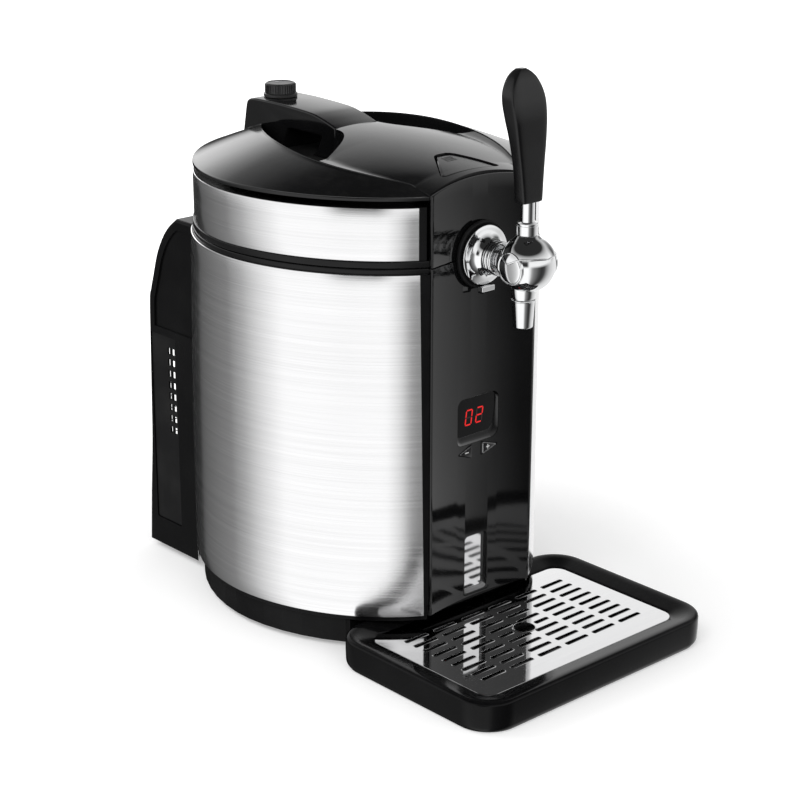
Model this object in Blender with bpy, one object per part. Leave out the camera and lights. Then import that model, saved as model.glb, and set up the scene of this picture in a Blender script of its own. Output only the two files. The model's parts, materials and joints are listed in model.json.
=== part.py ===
# Mini keg beer dispenser, modelled as separate pieces.
# Metres, +Z up. The tap faces -Y, and X is left to right seen from the front.
# Pieces are written around the axis of the keg well; one parent empty puts the
# middle of the whole footprint at the world origin.

import math

import bmesh
import bpy
from mathutils import Vector

for old in list(bpy.data.objects):
    bpy.data.objects.remove(old, do_unlink=True)

# Clearances shared by all pieces
GAP = 0.0003
FIT = 0.0006
BODY_FIT = 0.0010
OVERRUN = 0.0040

# Keg well and what lies round it
KEG_RADIUS = 0.0860
WELL_CLEARANCE = 0.0020
WELL_WALL = 0.0015
WELL_FLANGE = 0.0050
FOAM_THICKNESS = 0.0110
WELL_RADIUS = KEG_RADIUS + WELL_CLEARANCE
WELL_OUTER = WELL_RADIUS + WELL_WALL
FOAM_OUTER = WELL_OUTER + GAP + FOAM_THICKNESS

# Body plan: a superellipse round the foam, with a deeper front, whose back leans in
SIDE_ROOM = 0.0342
FRONT_ROOM = 0.0548
REAR_ROOM = 0.0544
BODY_HALF_WIDTH = FOAM_OUTER + SIDE_ROOM
BODY_FRONT = FOAM_OUTER + FRONT_ROOM
BODY_REAR = FOAM_OUTER + REAR_ROOM
BODY_POWER = 1.9
LEAN_SHARE = 0.10
LEAN_POWER = 2.3
LID_PLAN_SHARE = 0.99
PLINTH_PLAN_SHARE = 0.958
PLAN_STEPS = 18

# Drip tray
TRAY_HALF_WIDTH = 0.1246
TRAY_DEPTH = 0.1730
TRAY_UNDER_BODY = 0.0511
TRAY_HEIGHT = 0.0246
TRAY_HEADROOM = 0.0009
TRAY_RADIUS = 0.0280
TRAY_RIM = 0.0200
TRAY_FLOOR = 0.0030
TRAY_REAR = BODY_FRONT - TRAY_UNDER_BODY
TRAY_FRONT = TRAY_REAR + TRAY_DEPTH
PLATE_SET_IN = 0.0206
PLATE_DROP = 0.00435
PLATE_THICKNESS = 0.0012
PLATE_RADIUS = 0.0120
PLATE_HALF_WIDTH = TRAY_HALF_WIDTH - PLATE_SET_IN
PLATE_TOP = TRAY_HEIGHT - PLATE_DROP
SLOT_COLUMNS = 6
SLOT_ROWS = 9
SLOT_PITCH_X = 0.0300
SLOT_PITCH_Y = 0.0106
SLOT_LENGTH = 0.0230
SLOT_WIDTH = 0.0030

# Heights that stack from the floor to the top of the lid
FOOT_HEIGHT = 0.0036
PLINTH_FLOOR = 0.0040
WRAP_HEIGHT = 0.2757
DECK_THICKNESS = 0.0042
SEAM = 0.0004
LID_BASE_HEIGHT = 0.0057
BAND_HEIGHT = 0.0397
DOME_RISE = 0.0400
DOME_POWER = 2.4
SHEET = 0.0009

PLINTH_TOP = TRAY_HEIGHT + TRAY_HEADROOM + PLINTH_FLOOR
WRAP_BOTTOM = PLINTH_TOP + GAP
WRAP_TOP = WRAP_BOTTOM + WRAP_HEIGHT
DECK_BOTTOM = WRAP_TOP + GAP
DECK_TOP = DECK_BOTTOM + DECK_THICKNESS
LID_BOTTOM = DECK_TOP + SEAM
BAND_BOTTOM = LID_BOTTOM + LID_BASE_HEIGHT
BAND_TOP = BAND_BOTTOM + BAND_HEIGHT
DOME_BASE = BAND_TOP + GAP

# Front panel, hollow in plan, with its column behind it
PANEL_HALF_WIDTH = 0.0541
PANEL_PROUD = 0.00137006265
PANEL_HOLLOW = 0.0062
PANEL_THICKNESS = 0.0030
PANEL_STEPS = 12
STRIP_TOP = 0.0068
STRIP_BOTTOM = 0.0036
LID_FRONT_CORNER_RISE = 0.0084
LID_FRONT_ARCH = 0.0070
COLUMN_INNER_SET_IN = 0.0081
COLUMN_CLEARANCE = 0.0042
COLUMN_BACK_THICKNESS = 0.0070
COLUMN_INNER_HALF = PANEL_HALF_WIDTH - COLUMN_INNER_SET_IN
COLUMN_BACK_Y = -(FOAM_OUTER + COLUMN_CLEARANCE)
SPIGOT_HEIGHT = 0.0085
SPIGOT_TOP = PLINTH_TOP + SPIGOT_HEIGHT
WELL_UNDERSIDE = 0.0020
WELL_FLOOR_Z = SPIGOT_TOP + WELL_UNDERSIDE

# Cooling unit
MODULE_SIZE = 0.0400
MODULE_THICKNESS = 0.0040
MODULE_RISE = 0.1155
MODULE_Z = PLINTH_TOP + MODULE_RISE
COLD_BLOCK_DEPTH = 0.0200
COLD_BLOCK_SIZE = 0.0500
SINK_WIDTH = 0.0900
SINK_HEIGHT = 0.0900
SINK_BASE = 0.0060
SINK_FIN = 0.0180
FIN_COUNT = 9
FIN_THICKNESS = 0.0020
FAN_SIZE = 0.0800
FAN_DEPTH = 0.0140
FAN_WALL = 0.0030
FAN_HUB = 0.0140
FAN_BLADES = 7
FAN_BORE = FAN_SIZE / 2 - FAN_WALL
MODULE_Y = WELL_OUTER + GAP + COLD_BLOCK_DEPTH + GAP
SINK_Y = MODULE_Y + MODULE_THICKNESS + GAP
FAN_Y = SINK_Y + SINK_BASE + SINK_FIN + GAP

# Rear housing
WRAP_REAR_SET_IN = 0.0395
WRAP_REAR_HALF = BODY_HALF_WIDTH - WRAP_REAR_SET_IN
HOUSING_SET_IN = 0.0025
HOUSING_WALL = 0.0030
HOUSING_LIFT = 0.0014
HOUSING_DROP = 0.0015
FAN_ROOM = 0.0268
HOUSING_HALF_WIDTH = WRAP_REAR_HALF - HOUSING_SET_IN
HOUSING_BOTTOM = FOOT_HEIGHT + HOUSING_LIFT
HOUSING_TOP = WRAP_TOP - HOUSING_DROP
HOUSING_REAR = FAN_Y + FAN_DEPTH + FAN_ROOM
VENT_HEIGHT = 0.1690
VENT_DEPTH = 0.0350
VENT_RISE = 0.0015
VENT_SET_IN = 0.0485
VENT_BOTTOM = PLINTH_TOP + VENT_RISE
VENT_FRONT_Y = HOUSING_REAR - VENT_SET_IN

# Lid top: the crease that bounds the middle part, and the bridge handle
LOBE_WIDTH = 0.0530
CREASE_HALF_WIDTH = BODY_HALF_WIDTH - LOBE_WIDTH
CREASE_FRONT_SET_IN = 0.0051
CREASE_NARROWING = CREASE_HALF_WIDTH - (PANEL_HALF_WIDTH - CREASE_FRONT_SET_IN)
CREASE_WIDEST_Y = -0.0320
CREASE_FRONT_MARGIN = 0.0149
VALLEY_MARGIN = 0.0029
VALLEY_HALF_WIDTH = PANEL_HALF_WIDTH + VALLEY_MARGIN
VALLEY_DEPTH = 0.0100
VALLEY_RUN = 0.0330
CROWN = 0.0075
FLARE_START_Y = -0.0450
FLARE_END_Y = 0.0050
FLARE_POWER = 2.2
BRIDGE_HALF_WIDTH = 0.0220
BRIDGE_SET_IN = 0.0297
BRIDGE_REAR_Y = BODY_REAR - BRIDGE_SET_IN
SHELL_WALL = 0.0025
WELL_FLOOR_RISE = 0.0055
KNOB_SET_IN = 0.0255
KNOB_Y = BRIDGE_REAR_Y - KNOB_SET_IN
KNOB_RADIUS = 0.0122
KNOB_HEIGHT = 0.0095
HINGE_SET_IN = 0.0052
PIN_RADIUS = 0.0020
BARREL_RADIUS = 0.0045
BARREL_HALF_WIDTH = 0.0220
HINGE_Y = BODY_REAR - HINGE_SET_IN
HINGE_Z = DECK_TOP + BARREL_RADIUS

# Where the whole footprint is centred
ROOT_SHIFT_Y = (TRAY_FRONT - HOUSING_REAR) / 2

ROUND = 36
SMALL_ROUND = 16

root = bpy.data.objects.new("dispenser", None)
root.location = (0, ROOT_SHIFT_Y, 0)
bpy.context.scene.collection.objects.link(root)


# Materials
def make_material(name, color, metallic, roughness):
    material = bpy.data.materials.new(name)
    material.use_nodes = True
    shader = material.node_tree.nodes["Principled BSDF"]
    shader.inputs["Base Color"].default_value = (*color, 1.0)
    shader.inputs["Metallic"].default_value = metallic
    shader.inputs["Roughness"].default_value = roughness
    return material


FINISHES = {
    "brushed_steel": ((0.62, 0.62, 0.63), 1.0, 0.32),
    "mirror_steel": ((0.80, 0.80, 0.81), 1.0, 0.06),
    "chrome": ((0.78, 0.78, 0.80), 1.0, 0.05),
    "gloss_black": ((0.012, 0.012, 0.013), 0.0, 0.10),
    "satin_black": ((0.020, 0.020, 0.021), 0.0, 0.38),
    "matt_black": ((0.018, 0.018, 0.019), 0.0, 0.60),
    "rubber": ((0.030, 0.030, 0.032), 0.0, 0.80),
    "foam": ((0.80, 0.80, 0.78), 0.0, 0.85),
    "aluminium": ((0.75, 0.76, 0.77), 1.0, 0.35),
    "smoked_window": ((0.010, 0.006, 0.006), 0.0, 0.05),
    "circuit_green": ((0.020, 0.130, 0.060), 0.0, 0.50),
    "led_red": ((0.700, 0.020, 0.015), 0.0, 0.35),
    "ceramic": ((0.85, 0.85, 0.83), 0.0, 0.45),
    "clear_hose": ((0.75, 0.78, 0.80), 0.0, 0.25),
}


# Mesh helpers
def make_piece(name, finish, vertices, faces, pivot=(0, 0, 0), smooth=False):
    mesh = bpy.data.meshes.new(name)
    offset = Vector(pivot)
    mesh.from_pydata([Vector(point) - offset for point in vertices], [], faces)
    work = bmesh.new()
    work.from_mesh(mesh)
    bmesh.ops.recalc_face_normals(work, faces=work.faces)
    work.to_mesh(mesh)
    work.free()
    piece = bpy.data.objects.new(name, mesh)
    bpy.context.scene.collection.objects.link(piece)
    piece.parent = root
    piece.location = pivot
    if finish:
        mesh.materials.append(make_material(name, *FINISHES[finish]))
    if smooth:
        mesh.shade_smooth()
        mesh.set_sharp_from_angle(angle=math.radians(35))
    return piece


def turn_axes(point, axis):
    u, v, w = point
    if axis == "X":
        return (w, u, v)
    if axis == "Y":
        return (u, w, v)
    return (u, v, w)


def loft(rings, closed=False):
    count = len(rings[0])
    vertices = [point for ring in rings for point in ring]
    faces = []
    spans = len(rings) if closed else len(rings) - 1
    for row in range(spans):
        here = row * count
        there = ((row + 1) % len(rings)) * count
        for column in range(count):
            after = (column + 1) % count
            faces.append((here + column, here + after, there + after, there + column))
    if not closed:
        faces.append(tuple(range(count)))
        faces.append(tuple(range((len(rings) - 1) * count, len(rings) * count)))
    return vertices, faces


def prism(outline, low, high, axis="Z"):
    rings = [[turn_axes((u, v, level), axis) for u, v in outline] for level in (low, high)]
    return loft(rings)


def turned(profile, steps=ROUND, axis="Z", center=(0, 0, 0), closed=False):
    rings = []
    for radius, level in profile:
        ring = []
        for step in range(steps):
            angle = 2 * math.pi * step / steps
            point = (radius * math.cos(angle), radius * math.sin(angle), level)
            turned_point = turn_axes(point, axis)
            ring.append(tuple(turned_point[i] + center[i] for i in range(3)))
        rings.append(ring)
    return loft(rings, closed)


def slab(top, bottom):
    rows = len(top)
    columns = len(top[0])
    vertices = [point for row in top for point in row]
    base = len(vertices)
    vertices += [point for row in bottom for point in row]
    faces = []
    for row in range(rows - 1):
        for column in range(columns - 1):
            corner = row * columns + column
            quad = (corner, corner + 1, corner + columns + 1, corner + columns)
            faces.append(quad)
            faces.append(tuple(base + index for index in reversed(quad)))
    border = [column for column in range(columns)]
    border += [row * columns + columns - 1 for row in range(1, rows)]
    border += [(rows - 1) * columns + column for column in range(columns - 2, -1, -1)]
    border += [row * columns for row in range(rows - 2, 0, -1)]
    for index, corner in enumerate(border):
        after = border[(index + 1) % len(border)]
        faces.append((after, corner, base + corner, base + after))
    return vertices, faces


def box(low, high):
    outline = [(low[0], low[1]), (high[0], low[1]), (high[0], high[1]), (low[0], high[1])]
    return prism(outline, low[2], high[2])


def merged(*solids):
    vertices = []
    faces = []
    for solid_vertices, solid_faces in solids:
        base = len(vertices)
        vertices += solid_vertices
        faces += [tuple(base + index for index in face) for face in solid_faces]
    return vertices, faces


def combine(piece, solid, operation, label):
    tool = make_piece(label, None, *solid)
    tool.hide_render = True
    tool.display_type = "WIRE"
    modifier = piece.modifiers.new(label, "BOOLEAN")
    modifier.operation = operation
    modifier.solver = "EXACT"
    modifier.object = tool
    return piece


def cut(piece, solid, label):
    return combine(piece, solid, "DIFFERENCE", label)


def fuse(piece, solid, label):
    return combine(piece, solid, "UNION", label)


# Plan curves
def rear_depth(z):
    return BODY_REAR * (1 - LEAN_SHARE * (z / BAND_TOP) ** LEAN_POWER)


def edge_y(x, z, share=1.0, inset=0, rear=False):
    half = BODY_HALF_WIDTH * share - inset
    depth = (rear_depth(z) if rear else BODY_FRONT) * share - inset
    reach = depth * (1 - min(abs(x) / half, 1) ** BODY_POWER) ** (1 / BODY_POWER)
    return reach if rear else -reach


def plan_arc(z, share, inset, front_x, rear_x, steps=PLAN_STEPS):
    half = BODY_HALF_WIDTH * share - inset
    start = -math.acos((front_x / half) ** (BODY_POWER / 2))
    end = math.acos((max(rear_x, 0) / half) ** (BODY_POWER / 2))
    points = []
    for step in range(steps + 1):
        angle = start + (end - start) * step / steps
        depth = (rear_depth(z) if angle > 0 else BODY_FRONT) * share - inset
        x = half * abs(math.cos(angle)) ** (2 / BODY_POWER)
        y = math.copysign(depth * abs(math.sin(angle)) ** (2 / BODY_POWER), angle)
        points.append((x, y))
    return points


def body_outline(z, share, inset, front_x, front_y, rear_x=0, steps=PLAN_STEPS):
    right = [(front_x, front_y)] + plan_arc(z, share, inset, front_x, rear_x, steps)
    if rear_x == 0:
        right[-1] = (0, right[-1][1])
        left = [(-x, y) for x, y in reversed(right[:-1])]
    else:
        left = [(-x, y) for x, y in reversed(right)]
    return right + left


def ring_at(outline, z):
    return [(x, y, z) for x, y in outline]


PANEL_CORNER_Y = edge_y(PANEL_HALF_WIDTH, WRAP_TOP) - PANEL_PROUD


def panel_y(x):
    return PANEL_CORNER_Y + PANEL_HOLLOW * (1 - (x / PANEL_HALF_WIDTH) ** 2)


def strip_x(z):
    share = (z - WRAP_BOTTOM) / (WRAP_TOP - WRAP_BOTTOM)
    return PANEL_HALF_WIDTH + STRIP_BOTTOM + (STRIP_TOP - STRIP_BOTTOM) * share


NOTCH_HALF = PANEL_HALF_WIDTH + GAP
NOTCH_Y = panel_y(0) + PANEL_THICKNESS + GAP
CREASE_RUN = CREASE_WIDEST_Y - PANEL_CORNER_Y - CREASE_FRONT_MARGIN

# Tap
TAP_RISE = 0.0009
TAP_REACH = 0.0451
TAP_BALL_RISE = 0.0015
TAP_BALL_RADIUS = 0.0206
BONNET_WALL = 0.0016
SHANK_RADIUS = 0.0080
FLANGE_RADIUS = 0.0230
SEAT_LEDGE = 0.0030
NUT_RADIUS = 0.0140
LEVER_STEPS = 16
TAP_Z = LID_BOTTOM + TAP_RISE
TAP_BALL_Y = PANEL_CORNER_Y - TAP_REACH
BONNET_RADIUS = TAP_BALL_RADIUS + BONNET_WALL
SEAT_RADIUS = FLANGE_RADIUS + SEAT_LEDGE


# Lid surface
def dome_z(x, y):
    half = BODY_HALF_WIDTH * LID_PLAN_SHARE
    depth = (rear_depth(BAND_TOP) if y > 0 else BODY_FRONT) * LID_PLAN_SHARE
    reach = ((abs(x) / half) ** BODY_POWER + (abs(y) / depth) ** BODY_POWER) ** (1 / BODY_POWER)
    return DOME_BASE + DOME_RISE * (1 - min(reach, 1) ** DOME_POWER)


def crease_x(y):
    width = CREASE_HALF_WIDTH - CREASE_NARROWING * ((y - CREASE_WIDEST_Y) / CREASE_RUN) ** 2
    if y < CREASE_WIDEST_Y:
        return max(width, NOTCH_HALF)
    return max(width, BRIDGE_HALF_WIDTH + GAP)


def valley_z(y):
    fall = min(max((y - PANEL_CORNER_Y - VALLEY_RUN) / VALLEY_RUN, 0), 1)
    level = dome_z(VALLEY_HALF_WIDTH, y) - VALLEY_DEPTH * fall
    return max(level, BAND_TOP + LID_FRONT_CORNER_RISE)


def spine_half(y):
    if y < FLARE_START_Y:
        return crease_x(y) - FIT
    share = min((y - FLARE_START_Y) / (FLARE_END_Y - FLARE_START_Y), 1)
    full = crease_x(FLARE_START_Y) - FIT
    return BRIDGE_HALF_WIDTH + (full - BRIDGE_HALF_WIDTH) * (1 - share) ** FLARE_POWER


def spine_z(x, y):
    half = spine_half(y)
    valley = min(VALLEY_HALF_WIDTH, half)
    if abs(x) <= valley:
        return valley_z(y) + CROWN * (1 - (x / valley) ** 2)
    rise = max(dome_z(crease_x(y), y) - valley_z(y), 0)
    return valley_z(y) + rise * (abs(x) - valley) / (crease_x(y) - valley)


# Base of the cabinet: plinth with a spigot that the wrap stands round, and feet
PLINTH_SHOULDER = 0.0360
TRAY_REAR_ROOM = 0.0070
FOOT_RADIUS = 0.0110
FOOT_SIDE_SET_IN = 0.0550
FOOT_FRONT_SET_IN = 0.0195
FOOT_EDGE_MARGIN = 0.0008
PLINTH_FRONT_HALF = BODY_HALF_WIDTH - PLINTH_SHOULDER
PLINTH_FRONT_Y = -(TRAY_REAR - TRAY_REAR_ROOM)
FOOT_X = BODY_HALF_WIDTH - FOOT_SIDE_SET_IN
FOOT_FRONT_Y = PLINTH_FRONT_Y + FOOT_FRONT_SET_IN
FOOT_REAR_Y = (edge_y(FOOT_X + FOOT_RADIUS, FOOT_HEIGHT, PLINTH_PLAN_SHARE, 0, True)
               - FOOT_RADIUS - FOOT_EDGE_MARGIN)
COMPARTMENT_FRONT_Y = WELL_OUTER + COLD_BLOCK_DEPTH + 2 * GAP


def base_plinth():
    low = FOOT_HEIGHT + GAP
    outline = body_outline(low, PLINTH_PLAN_SHARE, 0, PLINTH_FRONT_HALF, PLINTH_FRONT_Y)
    inset = SHEET + FIT
    top = body_outline(low, 1.0, inset, NOTCH_HALF, NOTCH_Y)
    piece = make_piece("base_plinth", "satin_black", *prism(outline, low, PLINTH_TOP))
    plate_low = PLINTH_TOP - PLINTH_FLOOR
    fuse(piece, prism(top, plate_low, SPIGOT_TOP), "plinth_spigot")
    wall = body_outline(low, PLINTH_PLAN_SHARE, PLINTH_FLOOR, PLINTH_FRONT_HALF - PLINTH_FLOOR,
                        PLINTH_FRONT_Y + PLINTH_FLOOR)
    cut(piece, prism(wall, low - OVERRUN, plate_low - PLINTH_FLOOR), "plinth_hollow")
    margin = INSERT_THICKNESS * 2 + GAP
    pocket = box((-INSERT_HALF - margin, NOTCH_Y - OVERRUN, INSERT_BOTTOM - margin),
                 (INSERT_HALF + margin, NOTCH_Y + INSERT_THICKNESS + GAP,
                  SPIGOT_TOP + OVERRUN))
    return cut(piece, pocket, "insert_pocket")


def rubber_feet():
    pad = FOOT_RADIUS * 0.86
    high = PLINTH_TOP - PLINTH_FLOOR - PLINTH_FLOOR - GAP
    stem = FOOT_RADIUS / 2
    places = {
        "front_left": (-FOOT_X, FOOT_FRONT_Y),
        "front_right": (FOOT_X, FOOT_FRONT_Y),
        "rear_left": (-FOOT_X, FOOT_REAR_Y),
        "rear_right": (FOOT_X, FOOT_REAR_Y),
    }
    for side, (x, y) in places.items():
        profile = [(pad, 0), (FOOT_RADIUS, FOOT_HEIGHT / 2), (FOOT_RADIUS, FOOT_HEIGHT),
                   (stem, FOOT_HEIGHT + GAP), (stem, high)]
        solid = turned(profile, SMALL_ROUND)
        make_piece("rubber_foot_" + side, "rubber",
                   [(vx + x, vy + y, vz) for vx, vy, vz in solid[0]], solid[1], (0, 0, 0), True)


# Steel wrap in two sides, and the black back panel between them
WRAP_LEVELS = 5
BACK_PANEL_THICKNESS = 0.0025
WINDOW_MARGIN = 0.0150
WINDOW_BELOW = 0.0100
WINDOW_ABOVE = 0.0250
WINDOW_HALF = SINK_WIDTH / 2 + WINDOW_MARGIN
WINDOW_BOTTOM = MODULE_Z - SINK_HEIGHT / 2 - WINDOW_BELOW
WINDOW_TOP = MODULE_Z + SINK_HEIGHT / 2 + WINDOW_ABOVE


def wrap_side(side):
    rings = []
    for level in range(WRAP_LEVELS + 1):
        z = WRAP_BOTTOM + (WRAP_TOP - WRAP_BOTTOM) * level / WRAP_LEVELS
        front_x = strip_x(z)
        outer = plan_arc(z, 1.0, 0, front_x, WRAP_REAR_HALF, PLAN_STEPS)
        inner = plan_arc(z, 1.0, SHEET, front_x, WRAP_REAR_HALF, PLAN_STEPS)
        outline = outer + list(reversed(inner))
        rings.append([(side * x, y, z) for x, y in outline])
    name = "steel_wrap_right" if side > 0 else "steel_wrap_left"
    return make_piece(name, "brushed_steel", *loft(rings), (0, 0, 0), True)


def back_panel():
    rings = []
    low = SPIGOT_TOP + GAP
    for level in range(WRAP_LEVELS + 1):
        z = low + (WRAP_TOP - low) * level / WRAP_LEVELS
        limit = WRAP_REAR_HALF - GAP
        outer = []
        inner = []
        for step in range(PLAN_STEPS + 1):
            x = limit - 2 * limit * step / PLAN_STEPS
            outer.append((x, edge_y(x, z, 1.0, 0, True), z))
            inner.append((x, edge_y(x, z, 1.0, BACK_PANEL_THICKNESS, True), z))
        rings.append(outer + list(reversed(inner)))
    piece = make_piece("back_panel", "satin_black", *loft(rings), (0, 0, 0), True)
    window = box((-WINDOW_HALF, COMPARTMENT_FRONT_Y, WINDOW_BOTTOM),
                 (WINDOW_HALF, HOUSING_REAR, WINDOW_TOP))
    return cut(piece, window, "back_panel_window")


# Keg well, foam and top deck
GASKET_MARGIN = 0.0050
GASKET_WIDTH = 0.0040
GASKET_DEPTH = 0.0018
GASKET_RADIUS = WELL_RADIUS + GASKET_MARGIN
NUT_CLEARANCE = 0.0025
HOOK_INNER_X = 0.0110
HOOK_OUTER_X = 0.0170
HOOK_THICKNESS = 0.0040
HOOK_SET_IN = 0.0179
LATCH_SLOT_MARGIN = 0.0020
LATCH_SLOT_AHEAD = 0.0015
LATCH_SLOT_BEHIND = 0.0135
HOOK_FRONT_Y = PANEL_CORNER_Y + HOOK_SET_IN
HOOK_REAR_Y = HOOK_FRONT_Y + HOOK_THICKNESS
LATCH_SLOT_HALF = HOOK_OUTER_X + LATCH_SLOT_MARGIN
LATCH_SLOT_FRONT_Y = HOOK_FRONT_Y - LATCH_SLOT_AHEAD
LATCH_SLOT_REAR_Y = HOOK_REAR_Y + LATCH_SLOT_BEHIND


def tap_passage():
    radius = NUT_RADIUS + NUT_CLEARANCE
    return turned([(radius, PANEL_CORNER_Y), (radius, -WELL_RADIUS * 0.9)], SMALL_ROUND, "Y",
                  (0, 0, TAP_Z))


def keg_well():
    low = WELL_FLOOR_Z - WELL_WALL
    top = WRAP_TOP - GAP
    profile = [(WELL_OUTER, low), (WELL_OUTER, top - WELL_WALL),
               (WELL_OUTER + WELL_FLANGE, top - WELL_WALL), (WELL_OUTER + WELL_FLANGE, top),
               (WELL_RADIUS, top), (WELL_RADIUS, WELL_FLOOR_Z)]
    return make_piece("keg_well", "aluminium", *turned(profile), (0, 0, 0), True)


def foam_sleeve():
    inner = WELL_OUTER + GAP
    outer = inner + FOAM_THICKNESS
    low = SPIGOT_TOP + GAP
    top = WRAP_TOP - GAP - WELL_WALL - GAP
    profile = [(inner, low), (outer, low), (outer, top), (inner, top)]
    piece = make_piece("foam_sleeve", "foam", *turned(profile, closed=True), (0, 0, 0), True)
    half = COLD_BLOCK_SIZE / 2 + FIT
    window = box((-half, WELL_RADIUS / 2, MODULE_Z - half),
                 (half, HOUSING_REAR, MODULE_Z + half))
    return cut(piece, window, "foam_window")


def top_deck():
    z = DECK_BOTTOM
    outline = body_outline(z, LID_PLAN_SHARE, 0, NOTCH_HALF, NOTCH_Y)
    piece = make_piece("top_deck", "gloss_black", *prism(outline, DECK_BOTTOM, DECK_TOP))
    hole = turned([(WELL_RADIUS + FIT, z - OVERRUN), (WELL_RADIUS + FIT, DECK_TOP + OVERRUN)])
    cut(piece, hole, "deck_hole")
    half = GASKET_WIDTH / 2 + GAP
    floor = DECK_TOP - GASKET_DEPTH
    groove = turned([(GASKET_RADIUS - half, floor), (GASKET_RADIUS + half, floor),
                     (GASKET_RADIUS + half, DECK_TOP + OVERRUN),
                     (GASKET_RADIUS - half, DECK_TOP + OVERRUN)], closed=True)
    cut(piece, groove, "gasket_groove")
    cut(piece, tap_passage(), "deck_tap_notch")
    slot = box((-LATCH_SLOT_HALF, LATCH_SLOT_FRONT_Y, z - OVERRUN),
               (LATCH_SLOT_HALF, LATCH_SLOT_REAR_Y, DECK_TOP + OVERRUN))
    return cut(piece, slot, "deck_latch_slot")


def lid_gasket():
    half = GASKET_WIDTH / 2
    low = DECK_TOP - GASKET_DEPTH + GAP
    profile = [(GASKET_RADIUS - half, low), (GASKET_RADIUS + half, low),
               (GASKET_RADIUS + half, DECK_TOP), (GASKET_RADIUS - half, DECK_TOP)]
    piece = make_piece("lid_gasket", "rubber", *turned(profile, closed=True), (0, 0, 0), True)
    return cut(piece, tap_passage(), "gasket_tap_notch")


# Column and front panel with its window, buttons and polished insert
WINDOW_PANE_HALF = 0.0220
WINDOW_PANE_RISE = 0.1305
WINDOW_PANE_HEIGHT = 0.0380
WINDOW_PANE_BOTTOM = PLINTH_TOP + WINDOW_PANE_RISE
WINDOW_PANE_TOP = WINDOW_PANE_BOTTOM + WINDOW_PANE_HEIGHT
PANE_THICKNESS = 0.0020
BUTTON_DROP = 0.0065
BUTTON_Z = WINDOW_PANE_BOTTOM - BUTTON_DROP
BUTTON_HEIGHT = 0.0110
MINUS_TIP_X = -0.0213
MINUS_BASE_X = -0.0062
PLUS_TIP_X = 0.0222
PLUS_BASE_X = 0.0046
BUTTON_PROUD = 0.0008
BUTTON_TRAVEL = 0.0010
INSERT_HALF = 0.0122
INSERT_RISE = 0.0035
INSERT_HEIGHT = 0.0490
INSERT_BOTTOM = PLINTH_TOP + INSERT_RISE
INSERT_TOP = INSERT_BOTTOM + INSERT_HEIGHT
INSERT_THICKNESS = 0.0012
BOARD_HALF = 0.0300
BOARD_BELOW = 0.0220
BOARD_ABOVE = 0.0070
BOARD_BOTTOM = WINDOW_PANE_BOTTOM - BOARD_BELOW
BOARD_TOP = WINDOW_PANE_TOP + BOARD_ABOVE
BOARD_THICKNESS = 0.0016
BOARD_SET_IN = 0.0154
BOARD_Y = PANEL_CORNER_Y + BOARD_SET_IN
LED_HALF = 0.0150
LED_HEIGHT = 0.0240


def panel_strip(low, high):
    outline = []
    for step in range(PANEL_STEPS + 1):
        x = -PANEL_HALF_WIDTH + 2 * PANEL_HALF_WIDTH * step / PANEL_STEPS
        outline.append((x, panel_y(x)))
    outline += [(x, y + PANEL_THICKNESS) for x, y in reversed(outline)]
    return prism(outline, low, high)


def front_column():
    rings = []
    for z in (SPIGOT_TOP + GAP, WRAP_TOP - GAP):
        outer_x = strip_x(z) - GAP
        lip_x = PANEL_HALF_WIDTH + GAP
        panel_back = panel_y(PANEL_HALF_WIDTH) + PANEL_THICKNESS + GAP
        inner_front = panel_y(COLUMN_INNER_HALF) + PANEL_THICKNESS + GAP
        inner_back = COLUMN_BACK_Y - COLUMN_BACK_THICKNESS
        right = [(COLUMN_INNER_HALF, inner_back), (COLUMN_INNER_HALF, inner_front),
                 (lip_x, panel_back), (lip_x, edge_y(lip_x, z, 1.0, GAP)),
                 (outer_x, edge_y(outer_x, z, 1.0, GAP)), (outer_x, COLUMN_BACK_Y)]
        left = [(-x, y) for x, y in reversed(right)]
        rings.append(ring_at(right + left, z))
    piece = make_piece("front_column", "gloss_black", *loft(rings))
    return cut(piece, tap_passage(), "column_tap_notch")


def triangle(tip_x, base_x, grow):
    away = math.copysign(1, tip_x)
    half = BUTTON_HEIGHT / 2 + grow
    return [(base_x - away * grow, BUTTON_Z - half), (tip_x + away * grow * 2, BUTTON_Z),
            (base_x - away * grow, BUTTON_Z + half)]


def front_panel():
    top = LID_BOTTOM - 2 * SEAM
    piece = make_piece("front_panel", "gloss_black", *panel_strip(PLINTH_TOP + GAP, top))
    front = PANEL_CORNER_Y - OVERRUN
    back = NOTCH_Y + OVERRUN
    openings = [
        box((-WINDOW_PANE_HALF - GAP, front, WINDOW_PANE_BOTTOM - GAP),
            (WINDOW_PANE_HALF + GAP, back, WINDOW_PANE_TOP + GAP)),
        box((-INSERT_HALF, front, INSERT_BOTTOM), (INSERT_HALF, back, INSERT_TOP)),
        prism(triangle(MINUS_TIP_X, MINUS_BASE_X, FIT), front, back, "Y"),
        prism(triangle(PLUS_TIP_X, PLUS_BASE_X, FIT), front, back, "Y"),
    ]
    for index, solid in enumerate(openings):
        cut(piece, solid, "panel_opening_%d" % index)
    radius = SHANK_RADIUS + FIT
    notch = turned([(radius, front), (radius, back)], SMALL_ROUND, "Y", (0, 0, TAP_Z))
    return cut(piece, notch, "panel_tap_notch")


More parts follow.
